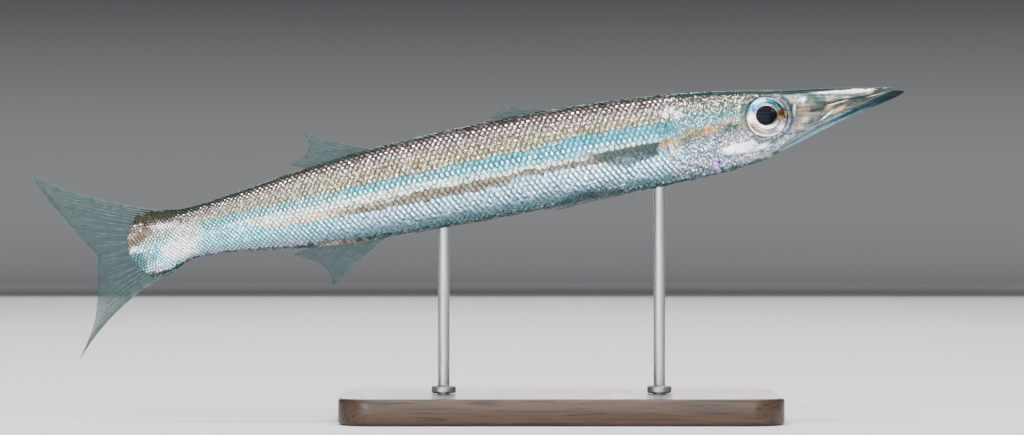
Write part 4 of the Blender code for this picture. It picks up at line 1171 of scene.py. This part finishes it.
def scale_roots(name, side):
    """A cloud of points, one for each scale, with the way it lies, its size, its colours and its patch."""
    at, share, along, across = scale_places().T
    spot = laid_out(at, share, side)
    back = laid_out(at + 0.4, share, side) - laid_out(at - 0.4, share, side)
    up = laid_out(at, np.minimum(share + 0.01, 1), side) - laid_out(at, np.maximum(share - 0.01, 0), side)
    ways = hung(np.stack([back, up])) - hung(np.zeros(3))
    rearward = ways[0] / np.linalg.norm(ways[0], axis=1, keepdims=True)
    outward = np.cross(rearward, ways[1]) * side
    outward /= np.linalg.norm(outward, axis=1, keepdims=True)
    lies = np.stack([rearward, np.cross(outward, rearward), outward], -1)
    mesh = bpy.data.meshes.new(name)
    mesh.from_pydata(hung(spot).tolist(), [], [])
    set_attribute(mesh, "lie", [tuple(Matrix(lie.tolist()).to_quaternion()) for lie in lies], "QUATERNION")
    size = np.stack([along * SCALE_LONG, across * SCALE_WIDE, (along / 1.9) ** 0.7], -1)
    set_attribute(mesh, "size", size * MM)
    random = np.random.default_rng(11 if side > 0 else 12)
    glint, gap = markings(at, spot[:, 2] + random.uniform(-MIXED, MIXED, len(at)))
    up = height_share(at, spot[:, 2])
    lean, long, wide, uneven, speckle = (np.interp(up, *np.array(GLINT_FORM).T[[0, k]]) for k in range(1, 6))
    cheek = soft(84.0, 78.0, at)
    uneven = uneven + (0.7 - uneven) * cheek
    speckle = speckle + (CHEEK_SPECKLE - speckle) * cheek
    lean = np.radians(lean + random.uniform(-8, 8, len(at)) * (1 + 2 * cheek))
    spark = 1 - uneven * random.uniform(0, 1, len(at)) ** 0.8
    # the scales of the side line have a broad white glint each
    lateral = (np.abs(share - (LATERAL_ROW + 0.5) / ROWS) < 0.1 / ROWS) & (at > 84)
    white = (lateral * soft(88, 96, at) * soft(232, 200, at))[:, None]
    glint = glint + (np.array(LATERAL_GLINT) - glint) * white
    long, wide = np.where(lateral, 0.44, long), np.where(lateral, 0.24, wide)
    spark, speckle = np.where(lateral, 1.0, spark), np.where(lateral, 0.0, speckle)
    set_attribute(mesh, "glint", gap + (glint - gap) * spark[:, None])
    set_attribute(mesh, "gap", gap * random.uniform(0.7, 1.2, len(at))[:, None])
    flat = np.zeros(len(at))
    set_attribute(mesh, "along", np.stack([-np.sin(lean) / long, side * np.cos(lean) / long, flat], -1))
    set_attribute(mesh, "across", np.stack([np.cos(lean) / wide, side * np.sin(lean) / wide, flat], -1))
    set_attribute(mesh, "speckle", speckle, "FLOAT")
    set_attribute(mesh, "lateral", lateral.astype(float), "FLOAT")
    root = np.stack([0.02 + 0.93 * at / BODY_END, 0.02 + 0.95 * share, np.zeros(len(at))], -1)
    set_attribute(mesh, "root", root)
    return link_object(name, mesh)


def new_tree(name, *asked):
    """A tree that makes geometry, with named inputs from (name, kind) pairs, and what it is given."""
    tree = bpy.data.node_groups.new(name, "GeometryNodeTree")
    for label, kind in (("Geometry", "Geometry"), *asked):
        tree.interface.new_socket(label, in_out="INPUT", socket_type="NodeSocket" + kind)
    tree.interface.new_socket("Geometry", in_out="OUTPUT", socket_type="NodeSocketGeometry")
    return tree, put(tree, "NodeGroupInput").outputs


def stored(tree, name, kind="FLOAT_VECTOR"):
    """A value that is stored on the points of what a tree works on."""
    return put(tree, "GeometryNodeInputNamedAttribute", {"Name": name}, data_type=kind).outputs["Attribute"]


def handed_out(tree, geometry, material):
    """Gives what a tree has made its material, and hands it out."""
    done = put(tree, "GeometryNodeSetMaterial", {"Geometry": geometry, "Material": material})
    put(tree, "NodeGroupOutput", {"Geometry": done.outputs["Geometry"]})
    return tree


def scale_tree():
    """Sets a scale on every root, a little askew, and gives each its patch on the bake's map."""
    asked = (("Scale", "Object"), ("Askew", "Float"), ("Patch", "Float"), ("Seed", "Int"))
    tree, given = new_tree("scale_coat", *asked, ("Material", "Material"))
    blank = put(tree, "GeometryNodeObjectInfo", {"Object": given["Scale"], "As Instance": True})
    most = put(tree, "ShaderNodeCombineXYZ", {axis: given["Askew"] for axis in "XYZ"}).outputs[0]
    least = vectors(tree, "MULTIPLY", most, (-1, -1, -1))
    chance = put(tree, "FunctionNodeRandomValue", {"Seed": given["Seed"]}, data_type="FLOAT_VECTOR")
    fill(tree, chance, {"Min": least, "Max": most})
    euler = put(tree, "FunctionNodeEulerToRotation", {"Euler": chance.outputs["Value"]}).outputs["Rotation"]
    lie = {"Rotation": stored(tree, "lie", "QUATERNION"), "Rotate By": euler}
    turned = put(tree, "FunctionNodeRotateRotation", lie, rotation_space="LOCAL")
    laid = {"Points": given["Geometry"], "Instance": blank.outputs["Geometry"]}
    laid |= {"Rotation": turned.outputs["Rotation"], "Scale": stored(tree, "size")}
    coat = put(tree, "GeometryNodeInstanceOnPoints", laid).outputs["Instances"]
    real = put(tree, "GeometryNodeRealizeInstances", {"Geometry": coat}).outputs["Geometry"]
    half = sums(tree, "MULTIPLY", given["Patch"], 0.5)
    inside = {0: stored(tree, "local"), "Scale": half}
    inside = put(tree, "ShaderNodeVectorMath", inside, operation="SCALE").outputs[0]
    patch = {"Geometry": real, "Name": "OFBake", "Value": vectors(tree, "ADD", stored(tree, "root"), inside)}
    mapped = put(tree, "GeometryNodeStoreNamedAttribute", patch, data_type="FLOAT2", domain="CORNER")
    return handed_out(tree, mapped.outputs["Geometry"], given["Material"])


def grown(source, tree, name, inputs):
    """The plain mesh that a tree makes of an object, whose modifier and source are then removed."""
    modifier = source.modifiers.new(tree.name, "NODES")
    modifier.node_group = tree
    for item in tree.interface.items_tree:
        if item.item_type == "SOCKET" and item.in_out == "INPUT" and item.name in inputs:
            modifier[item.identifier] = inputs[item.name]
    evaluated = source.evaluated_get(bpy.context.evaluated_depsgraph_get())
    mesh = bpy.data.meshes.new_from_object(evaluated)
    source.modifiers.remove(modifier)
    bpy.data.objects.remove(source)
    mesh.name = name
    return link_object(name, mesh)


def scale_finish():
    """A scale: a slanting bright glint painted on its pigmented plate as a highlight, fine growth lines and a
    clear wet coat.
    """
    material, tree, shader = new_material("silver_scale")
    place = own_place(tree)
    local = mark(tree, "local", "Vector")
    middle = vectors(tree, "SUBTRACT", local, (GLINT_PLACE, 0, 0))
    ways = [mark(tree, name, "Vector") for name in ("along", "across")]
    reach = [vectors(tree, "DOT_PRODUCT", middle, way) for way in ways]
    away = sums(tree, "SQRT", sums(tree, "ADD", *(sums(tree, "MULTIPLY", part, part) for part in reach)))
    ragged = mottle(tree, place, 2600.0, 2.0)
    away = sums(tree, "MULTIPLY_ADD", ragged, 0.7, sums(tree, "SUBTRACT", away, 0.35))
    bright = grey(tree, ramp(tree, away, [(0.55, 1), (0.95, 0.22), (1.7, 0)], "EASE"))
    specks = grey(tree, ramp(tree, mottle(tree, place, SPECKS, 2.0), [(0.49, 0), (0.58, 1)]))
    mixed = {0: mark(tree, "speckle", "Fac"), 2: bright, 3: specks}
    bright = put(tree, "ShaderNodeMix", mixed, data_type="FLOAT").outputs[0]
    colour = blended(tree, bright, mark(tree, "gap"), mark(tree, "glint"))
    colour, _ = hued(tree, colour, place, 800.0, 0.6)
    # the pore of a side line scale
    tube = vectors(tree, "LENGTH", vectors(tree, "MULTIPLY", middle, (1.0, 4.2, 0)))
    tube = grey(tree, ramp(tree, tube, [(0.30, 1), (0.55, 0)]))
    pore = sums(tree, "MULTIPLY", sums(tree, "MULTIPLY", tube, mark(tree, "lateral", "Fac")), 0.55)
    colour = blended(tree, pore, colour, PORE)
    rings = sums(tree, "SINE", sums(tree, "MULTIPLY", vectors(tree, "LENGTH", local), GROWTH_LINES))
    embossed(tree, shader, rings, 0.16, 0.00004)
    silvery = ramp(tree, grey(tree, colour), SILVERING)
    rough = ramp(tree, bright, [(0.0, 0.42), (1.0, 0.15)])
    fill(tree, shader, {"Base Color": colour, "Metallic": silvery, "Roughness": rough, **WET})
    fill(tree, shader, {"Coat Roughness": 0.10})
    return material


scale_silver = scale_finish()
blank = link_object("scale_blank", scale_blank())
coat_tree = scale_tree()
for side, word in ((1, "left"), (-1, "right")):
    roots = scale_roots("scale_roots_" + word, side)
    choices = {"Scale": blank, "Askew": ASKEW, "Patch": PATCH, "Seed": 5 + side, "Material": scale_silver}
    wear(grown(roots, coat_tree, "scales_" + word, choices), "silver_skin")
bpy.data.objects.remove(blank)

# The fins. Each is a thin clear web over bony rays that fork towards the edge. The rays are drawn as lines,
# which become tapered rods, and the web is a thin shell between them.
WEB_ROOT, WEB_EDGE = 0.24, 0.09
RAY_ROOT, RAY_TIP = 0.20, 0.05
RAY_STATIONS = 15
WEB_COLUMNS = 4
FORKS = ((0.30, 0.25), (0.62, 0.125))
WEB_DARK, WEB_PALE = (0.005, 0.025, 0.029), (0.014, 0.046, 0.049)
RAY_DARK, RAY_PALE, RAY_JOINT = (0.028, 0.058, 0.057), (0.070, 0.110, 0.102), (0.06, 0.09, 0.085, 1)
SCALLOP = 0.012


def fin_finish():
    """The web lets light through and is faintly green, and the rays are paler and denser."""
    material, tree, shader = new_material("fin_web")
    parts = put(tree, "ShaderNodeSeparateXYZ", {"Vector": mark(tree, "ray", "Vector")}).outputs
    cloud = mottle(tree, own_place(tree), 420.0, 4.0)
    web = ramp(tree, cloud, [(0.35, WEB_DARK), (0.65, WEB_PALE)])
    bone = ramp(tree, cloud, [(0.35, RAY_DARK), (0.65, RAY_PALE)])
    joints = sums(tree, "SINE", sums(tree, "MULTIPLY", parts["Y"], 190.0))
    joints = sums(tree, "MULTIPLY", sums(tree, "MAXIMUM", joints, 0.0), 0.35)
    colour = blended(tree, parts["X"], web, blended(tree, joints, bone, RAY_JOINT))
    thin = sums(tree, "MULTIPLY_ADD", parts["Y"], -0.22, 0.55)
    thick = sums(tree, "MULTIPLY_ADD", parts["Y"], -0.35, 0.95)
    dense = put(tree, "ShaderNodeMix", {0: parts["X"], 2: thin, 3: thick}, data_type="FLOAT").outputs[0]
    dense = sums(tree, "MULTIPLY", dense, mark(tree, "veil", "Fac"))
    embossed(tree, shader, cloud, 0.2, 0.0001)
    fill(tree, shader, {"Base Color": colour, "Alpha": dense, "Roughness": 0.32})
    fill(tree, shader, {"Specular IOR Level": 0.15, "Coat Weight": 0.08, "Coat Roughness": 0.15})
    return material


def ray_tree():
    """Turns lines into tapered rods, by the thickness stored on their points."""
    tree, given = new_tree("fin_rays", ("Sides", "Int"), ("Material", "Material"))
    line = put(tree, "GeometryNodeMeshToCurve", {"Mesh": given["Geometry"]}).outputs["Curve"]
    ring = put(tree, "GeometryNodeCurvePrimitiveCircle", {"Resolution": given["Sides"], "Radius": 1.0})
    rods = {"Curve": line, "Profile Curve": ring.outputs["Curve"]}
    rods |= {"Scale": stored(tree, "thick", "FLOAT"), "Fill Caps": True}
    rods = put(tree, "GeometryNodeCurveToMesh", rods).outputs["Mesh"]
    smooth = put(tree, "GeometryNodeSetShadeSmooth", {"Geometry": rods, "Shade Smooth": True})
    real = put(tree, "GeometryNodeRealizeInstances", {"Geometry": smooth.outputs["Geometry"]})
    return handed_out(tree, real.outputs["Geometry"], given["Material"])


def fin_web(name, rays, outward):
    """A thin closed shell over the rays, thickest at the root, its free edge scalloped between the rays."""
    count = rays.shape[0]
    fine = np.linspace(0, count - 1, (count - 1) * WEB_COLUMNS + 1)
    i = np.minimum(fine.astype(int), count - 2)
    b = (fine - i)[:, None, None]
    grid = rays[i] * (1 - b) + rays[i + 1] * b
    share = np.linspace(0, 1, rays.shape[1])
    dip = SCALLOP * np.sin(math.pi * (fine - i))[:, None, None] * soft(0.7, 1.0, share)[None, :, None]
    grid = grid + (grid[:, :1] - grid) * dip
    thick = (WEB_ROOT + (WEB_EDGE - WEB_ROOT) * share)[None, :, None] / 2
    way = outward(grid)
    layers = [grid + way * thick, grid - way * thick]
    points = np.concatenate([layer.reshape(-1, 3) for layer in layers])
    across, along = grid.shape[:2]
    index = np.arange(across * along).reshape(across, along)
    quads = np.stack([index[:-1, :-1], index[1:, :-1], index[1:, 1:], index[:-1, 1:]], -1).reshape(-1, 4)
    other = across * along
    faces = quads.tolist() + (quads[:, ::-1] + other).tolist()
    rim = np.concatenate([index[:, 0], index[-1, 1:], index[-2::-1, -1], index[0, -2:0:-1]])
    for a, b in zip(rim, np.roll(rim, -1)):
        faces.append((int(b), int(a), int(a) + other, int(b) + other))
    mesh = bpy.data.meshes.new(name)
    mesh.from_pydata(hung(points).tolist(), [], faces)
    mesh.shade_smooth()
    facing_out(mesh)
    along_share = np.tile(share, across)
    flat = np.stack([np.zeros(other), along_share, np.zeros(other)], -1)
    set_attribute(mesh, "ray", np.vstack([flat, flat]))
    return mesh


def ray_lines(name, rays, thickness):
    """The lines of the rays, each forked twice over its outer part, with their thickness."""
    points, edges, thick, marks = [], [], [], []
    count, stations = rays.shape[:2]
    share = np.linspace(0, 1, stations)
    for k in range(count):
        neighbours = {-1: rays[max(k - 1, 0)], 1: rays[min(k + 1, count - 1)]}
        for signs in ((-1, -1), (-1, 1), (1, -1), (1, 1)):
            line = rays[k]
            begin = 0
            for sign, (parting, spread) in zip(signs, FORKS):
                line = line + (neighbours[sign] - rays[k]) * (spread * soft(parting, 1.0, share))[:, None]
                if sign > 0:
                    begin = int(np.searchsorted(share, parting)) + 1
            start = len(points)
            points += line[begin:].tolist()
            edges += [(start + j, start + j + 1) for j in range(stations - begin - 1)]
            thick += (thickness * (RAY_ROOT + (RAY_TIP - RAY_ROOT) * share))[begin:].tolist()
            marks += np.stack([np.ones(stations), share, np.zeros(stations)], -1)[begin:].tolist()
    mesh = bpy.data.meshes.new(name)
    mesh.from_pydata(hung(np.array(points)).tolist(), edges, [])
    set_attribute(mesh, "thick", np.array(thick) * MM, "FLOAT")
    set_attribute(mesh, "ray", marks)
    return link_object(name, mesh)


def joined(name, objects):
    """One object from several, with their materials and named values."""
    with bpy.context.temp_override(active_object=objects[0], selected_editable_objects=objects):
        bpy.ops.object.join()
    objects[0].name = name
    return objects[0]


fin_material = fin_finish()
rods_tree = ray_tree()


def make_fin(name, rays, outward, thickness, node, veil):
    """A fin of the given rays, from root to tip, in mm in the fish's frame. veil is how dense it looks."""
    web = link_object(name + "_web", fin_web(name + "_web", rays, outward), fin_material)
    lines = ray_lines(name + "_lines", rays, thickness)
    rods = grown(lines, rods_tree, name + "_rays", {"Sides": 6, "Material": fin_material})
    fin = joined(name, [web, rods])
    set_attribute(fin.data, "veil", np.full(len(fin.data.vertices), veil), "FLOAT")
    wear(fin, "fin_web", node)


def fan(roots, tips, bow):
    """Rays from matching roots and tips, bowed sideways by a share of their length."""
    share = np.linspace(0, 1, RAY_STATIONS)[None, :, None]
    way = tips - roots
    sideways = np.stack([-way[:, 2], np.zeros(len(way)), way[:, 0]], -1)
    bow = np.broadcast_to(bow, (len(roots),))[:, None, None]
    return roots[:, None] + way[:, None] * share + sideways[:, None] * (4 * bow * share * (1 - share))


def curve_through(points, count):
    """Points spaced along a smooth line through a few given places."""
    table = [(k / (len(points) - 1), *p) for k, p in enumerate(points)]
    share = np.linspace(0, 1, count)
    return np.stack([-eased(table, share, 1), np.zeros(count), eased(table, share, 2)], -1)


def across_fish(points):
    """The way out of a fin in the middle line."""
    return np.broadcast_to(np.array([0.0, 1.0, 0.0]), points.shape)


# The fins in the middle line: the folded spiny fin and the soft fin on the back, and the fin behind
# the vent. Each is set along the body's edge, with its roots sunk in it.
FIN_SUNK = 0.9
SPINY_EDGE = ((133.6, 22.6), (136.6, 21.9), (139.2, 20.9), (141.0, 19.8))
SOFT_EDGE = ((204.8, 27.6), (203.6, 23.4), (206.0, 19.9), (211.5, 17.7))
ANAL_EDGE = ((205.5, -26.0), (205.6, -21.6), (208.6, -17.0), (216.5, -12.6))
MIDDLE_FINS = (
    # node, up or down, rays, first and last root, the line of the rays' ends, thickness, density
    ("fin_first_dorsal", 1, 5, 117.0, 126.0, SPINY_EDGE, 1.1, 0.6),
    ("fin_second_dorsal", 1, 11, 181.5, 203.5, SOFT_EDGE, 1.0, 0.9),
    ("fin_anal", -1, 11, 183.0, 205.0, ANAL_EDGE, 1.0, 0.9),
)
for node, edge, count, first, last, ends, thickness, veil in MIDDLE_FINS:
    at = np.linspace(first, last, count)
    height = eased(BODY, at, 1 if edge > 0 else 2) - edge * FIN_SUNK
    roots = np.stack([-at, np.zeros(count), height], -1)
    rays = fan(roots, curve_through(ends, count), 0.02 * edge)
    make_fin(node.replace("fin_", "") + "_fin", rays, across_fish, thickness, node, veil)

# The tail fin is deeply forked. Its rays spring from a fan of small bones in the end of the tail stalk,
# and the outermost ones are the longest and curve back.
TAIL_LOBES = (
    # node, height of the outermost root, the line of the rays' ends, bow
    ("fin_tail_upper", 11.0, ((299.9, 32.3), (296.8, 25.6), (291.4, 15.6), (282.6, 0.6)), 0.045),
    ("fin_tail_lower", -9.5, ((295.4, -33.1), (288.5, -22.5), (285.0, -12.0), (282.6, 0.6)), -0.075),
)
TAIL_RAYS = 12
TAIL_SUNK = 1.2
for node, outer, ends, bow in TAIL_LOBES:
    share = np.linspace(0, 1, TAIL_RAYS)
    behind = np.full(TAIL_RAYS, -(BODY_END - TAIL_SUNK))
    roots = np.stack([behind, np.zeros(TAIL_RAYS), outer * (1 - share)], -1)
    rays = fan(roots, curve_through(ends, TAIL_RAYS), bow * (1 - share) ** 2)
    make_fin(node.replace("fin_", "") + "_lobe", rays, across_fish, 1.5, node, 1.0)

# The paired fins lie folded back against the body: the pectoral behind the gill cover and the pelvic
# on the belly. Their rays follow the skin and stand off it a little more towards the tips.
FLANK_RADIUS = 13.0
PAIRED_FINS = {
    # node: rays, root's distance behind and its slant, root's turn and spread, length and its fall,
    # droop and its spread, the way up or down, and how far the tip stands off the skin
    "fin_pectoral": (12, (86.2, 1.2), (-4, -20), (24.0, 0.5), (1, 10), -1, 1.5),
    "fin_pelvic": (7, (99.5, 1.8), (-80, 17), (26.5, 0.36), (2, 5), 1, 1.3),
}
SIDE_FIN_OFF = 0.35


def off_skin(points):
    """The way straight out from the body at points beside it."""
    at = -points[..., 0]
    level = (eased(BODY, at, 1) + eased(BODY, at, 2)) / 2
    turn = np.arctan2(points[..., 2] - level, np.abs(points[..., 1]))
    way = on_body(at, turn, 1.0) - on_body(at, turn)
    way = way * np.stack([np.ones(at.shape), np.sign(points[..., 1]), np.ones(at.shape)], -1)
    return way / np.linalg.norm(way, axis=-1, keepdims=True)


for node, (count, root, turn, size, droop, way, stand) in PAIRED_FINS.items():
    share = np.linspace(0, 1, count)[:, None]
    t = np.linspace(0, 1, RAY_STATIONS)[None, :]
    reach = size[0] * (1 - size[1] * share**1.2) * t
    slant = np.radians(droop[0] + droop[1] * share)
    at = root[0] + root[1] * share + reach * np.cos(slant)
    angle = np.radians(turn[0] + turn[1] * share) + way * reach * np.sin(slant) / FLANK_RADIUS
    for word, side in (("left", 1), ("right", -1)):
        rays = on_body(at, angle, SIDE_FIN_OFF + stand * t * t - 0.5 * soft(0.10, 0.0, t)) * (1, side, 1)
        make_fin(f"{node[4:]}_fin_{word}", rays, off_skin, 0.8, f"{node}_{word}", 0.55)

# The stand: a dark oiled walnut base with an eased edge, and two brushed steel rods with collars,
# pressed into the base and cut at the top to the fish's belly.
BASE_LENGTH, BASE_WIDTH, BASE_THICK = 0.150, 0.076, 0.009
BASE_CORNER, BASE_EASE = 0.012, 0.0012
ROD_RADIUS, COLLAR_RADIUS, COLLAR_HEIGHT, COLLAR_EASE = 0.002, 0.0042, 0.0024, 0.0004
ROD_SUNK, ROD_GAP, ROD_TOP = 0.004, 0.0003, 0.2
RODS = {"stand_rod_front": 0.034, "stand_rod_rear": -0.040}
WALNUT_DARK, WALNUT_MID = (0.009, 0.005, 0.003), (0.028, 0.014, 0.0075)
WALNUT_PALE, WALNUT_STREAK = (0.050, 0.027, 0.014), (0.017, 0.009, 0.005)


def wood_finish():
    """Oiled walnut, its figure along the base, with fine dark pores."""
    material, tree, shader = new_material("oiled_walnut")
    place = own_place(tree)
    figure = [(0.30, WALNUT_DARK), (0.48, WALNUT_MID), (0.60, WALNUT_PALE), (0.75, WALNUT_STREAK)]
    figure = ramp(tree, mottle(tree, drawn_out(tree, place, (9, 95, 70)), 0.9, 5.0, 0.6), figure)
    fibre = mottle(tree, drawn_out(tree, place, (60, 1500, 1500)), 1.0, 3.0)
    pores = ramp(tree, fibre, [(0.36, 0.35), (0.48, 1)])
    embossed(tree, shader, fibre, 0.25, 0.0001)
    colour = blended(tree, 1.0, figure, pores, "MULTIPLY")
    rough = ramp(tree, fibre, [(0.3, 0.50), (0.6, 0.34)])
    fill(tree, shader, {"Base Color": colour, "Roughness": rough})
    fill(tree, shader, {"Specular IOR Level": 0.3, "Coat Weight": 0.10, "Coat Roughness": 0.25})
    return material


def steel_finish():
    """Steel, brushed along the rod."""
    material, tree, shader = new_material("brushed_steel")
    lines = mottle(tree, drawn_out(tree, own_place(tree), (2500, 2500, 60)), 1.0, 3.0)
    tone = ramp(tree, lines, [(0.3, (0.20, 0.21, 0.22)), (0.7, (0.34, 0.35, 0.36))])
    rough = ramp(tree, lines, [(0.3, 0.46), (0.7, 0.32)])
    embossed(tree, shader, lines, 0.15, 0.00005)
    fill(tree, shader, {"Base Color": tone, "Roughness": rough, "Metallic": 1.0, "Anisotropic": 0.4})
    return material


def base_mesh():
    """The base's plate: an outline with round corners, raised through its thickness with eased edges."""
    outline = []
    for sx, sy, start in ((1, 1, 0), (-1, 1, 90), (-1, -1, 180), (1, -1, 270)):
        for k in range(13):
            outline.append((sx, sy, math.radians(start + 7.5 * k)))
    lower = [math.radians(30 * k) for k in range(4)]
    upper = [math.radians(22.5 * k) for k in range(5)]
    levels = [(BASE_EASE * (1 - math.sin(a)), BASE_EASE * (1 - math.cos(a))) for a in lower]
    levels += [(BASE_EASE * (1 - math.cos(a)), BASE_THICK - BASE_EASE * (1 - math.sin(a))) for a in upper]
    rings = []
    for inset, height in levels:
        corner = BASE_CORNER - inset
        ring = []
        for sx, sy, turn in outline:
            x = sx * (BASE_LENGTH / 2 - BASE_CORNER) + corner * math.cos(turn)
            y = sy * (BASE_WIDTH / 2 - BASE_CORNER) + corner * math.sin(turn)
            ring.append((x, y, height))
        rings.append(ring)
    shape = bmesh.new()
    rows = [[shape.verts.new(p) for p in ring] for ring in rings]
    for low, high in zip(rows, rows[1:]):
        for k in range(len(low)):
            n = (k + 1) % len(low)
            shape.faces.new((low[k], low[n], high[n], high[k]))
    for row in (rows[0], rows[-1]):
        shape.faces.new(row)
    bmesh.ops.recalc_face_normals(shape, faces=shape.faces[:])
    mesh = bpy.data.meshes.new("base")
    shape.to_mesh(mesh)
    shape.free()
    mesh.shade_smooth()
    mesh.set_sharp_from_angle(angle=math.radians(50))
    for face in mesh.polygons:
        if len(face.vertices) > 4:
            face.use_smooth = False
    return mesh


base = link_object("base", base_mesh(), wood_finish())
wear(base, "stand_wood", "stand_base")

steel = steel_finish()
skin_shape = bmesh.new()
skin_shape.from_mesh(skin.data)
belly = BVHTree.FromBMesh(skin_shape)
skin_shape.free()
seat_height = BASE_THICK + ROD_GAP
collar_top = seat_height + COLLAR_HEIGHT
for node, x in RODS.items():
    profile = [
        (0, BASE_THICK - ROD_SUNK),
        (ROD_RADIUS, BASE_THICK - ROD_SUNK),
        (ROD_RADIUS, seat_height),
        (COLLAR_RADIUS - COLLAR_EASE, seat_height),
        (COLLAR_RADIUS, seat_height + COLLAR_EASE),
        (COLLAR_RADIUS, collar_top - COLLAR_EASE),
        (COLLAR_RADIUS - COLLAR_EASE, collar_top),
        (ROD_RADIUS + COLLAR_EASE, collar_top),
        (ROD_RADIUS, collar_top + COLLAR_EASE),
        (ROD_RADIUS, ROD_TOP),
        (0, ROD_TOP),
    ]
    rod_mesh = turned_mesh("rod", profile, 40, closed=True)
    for vertex in rod_mesh.vertices:
        vertex.co.x += x
        if vertex.co.z > ROD_TOP / 2:
            hit = belly.ray_cast(Vector((vertex.co.x, vertex.co.y, 0.03)), Vector((0, 0, 1)))
            vertex.co.z = hit[0].z - 0.0001
    facing_out(rod_mesh)
    rod_mesh.set_sharp_from_angle(angle=math.radians(40))
    rod = link_object(node.replace("stand_", ""), rod_mesh, steel)
    wear(rod, "stand_steel", node)
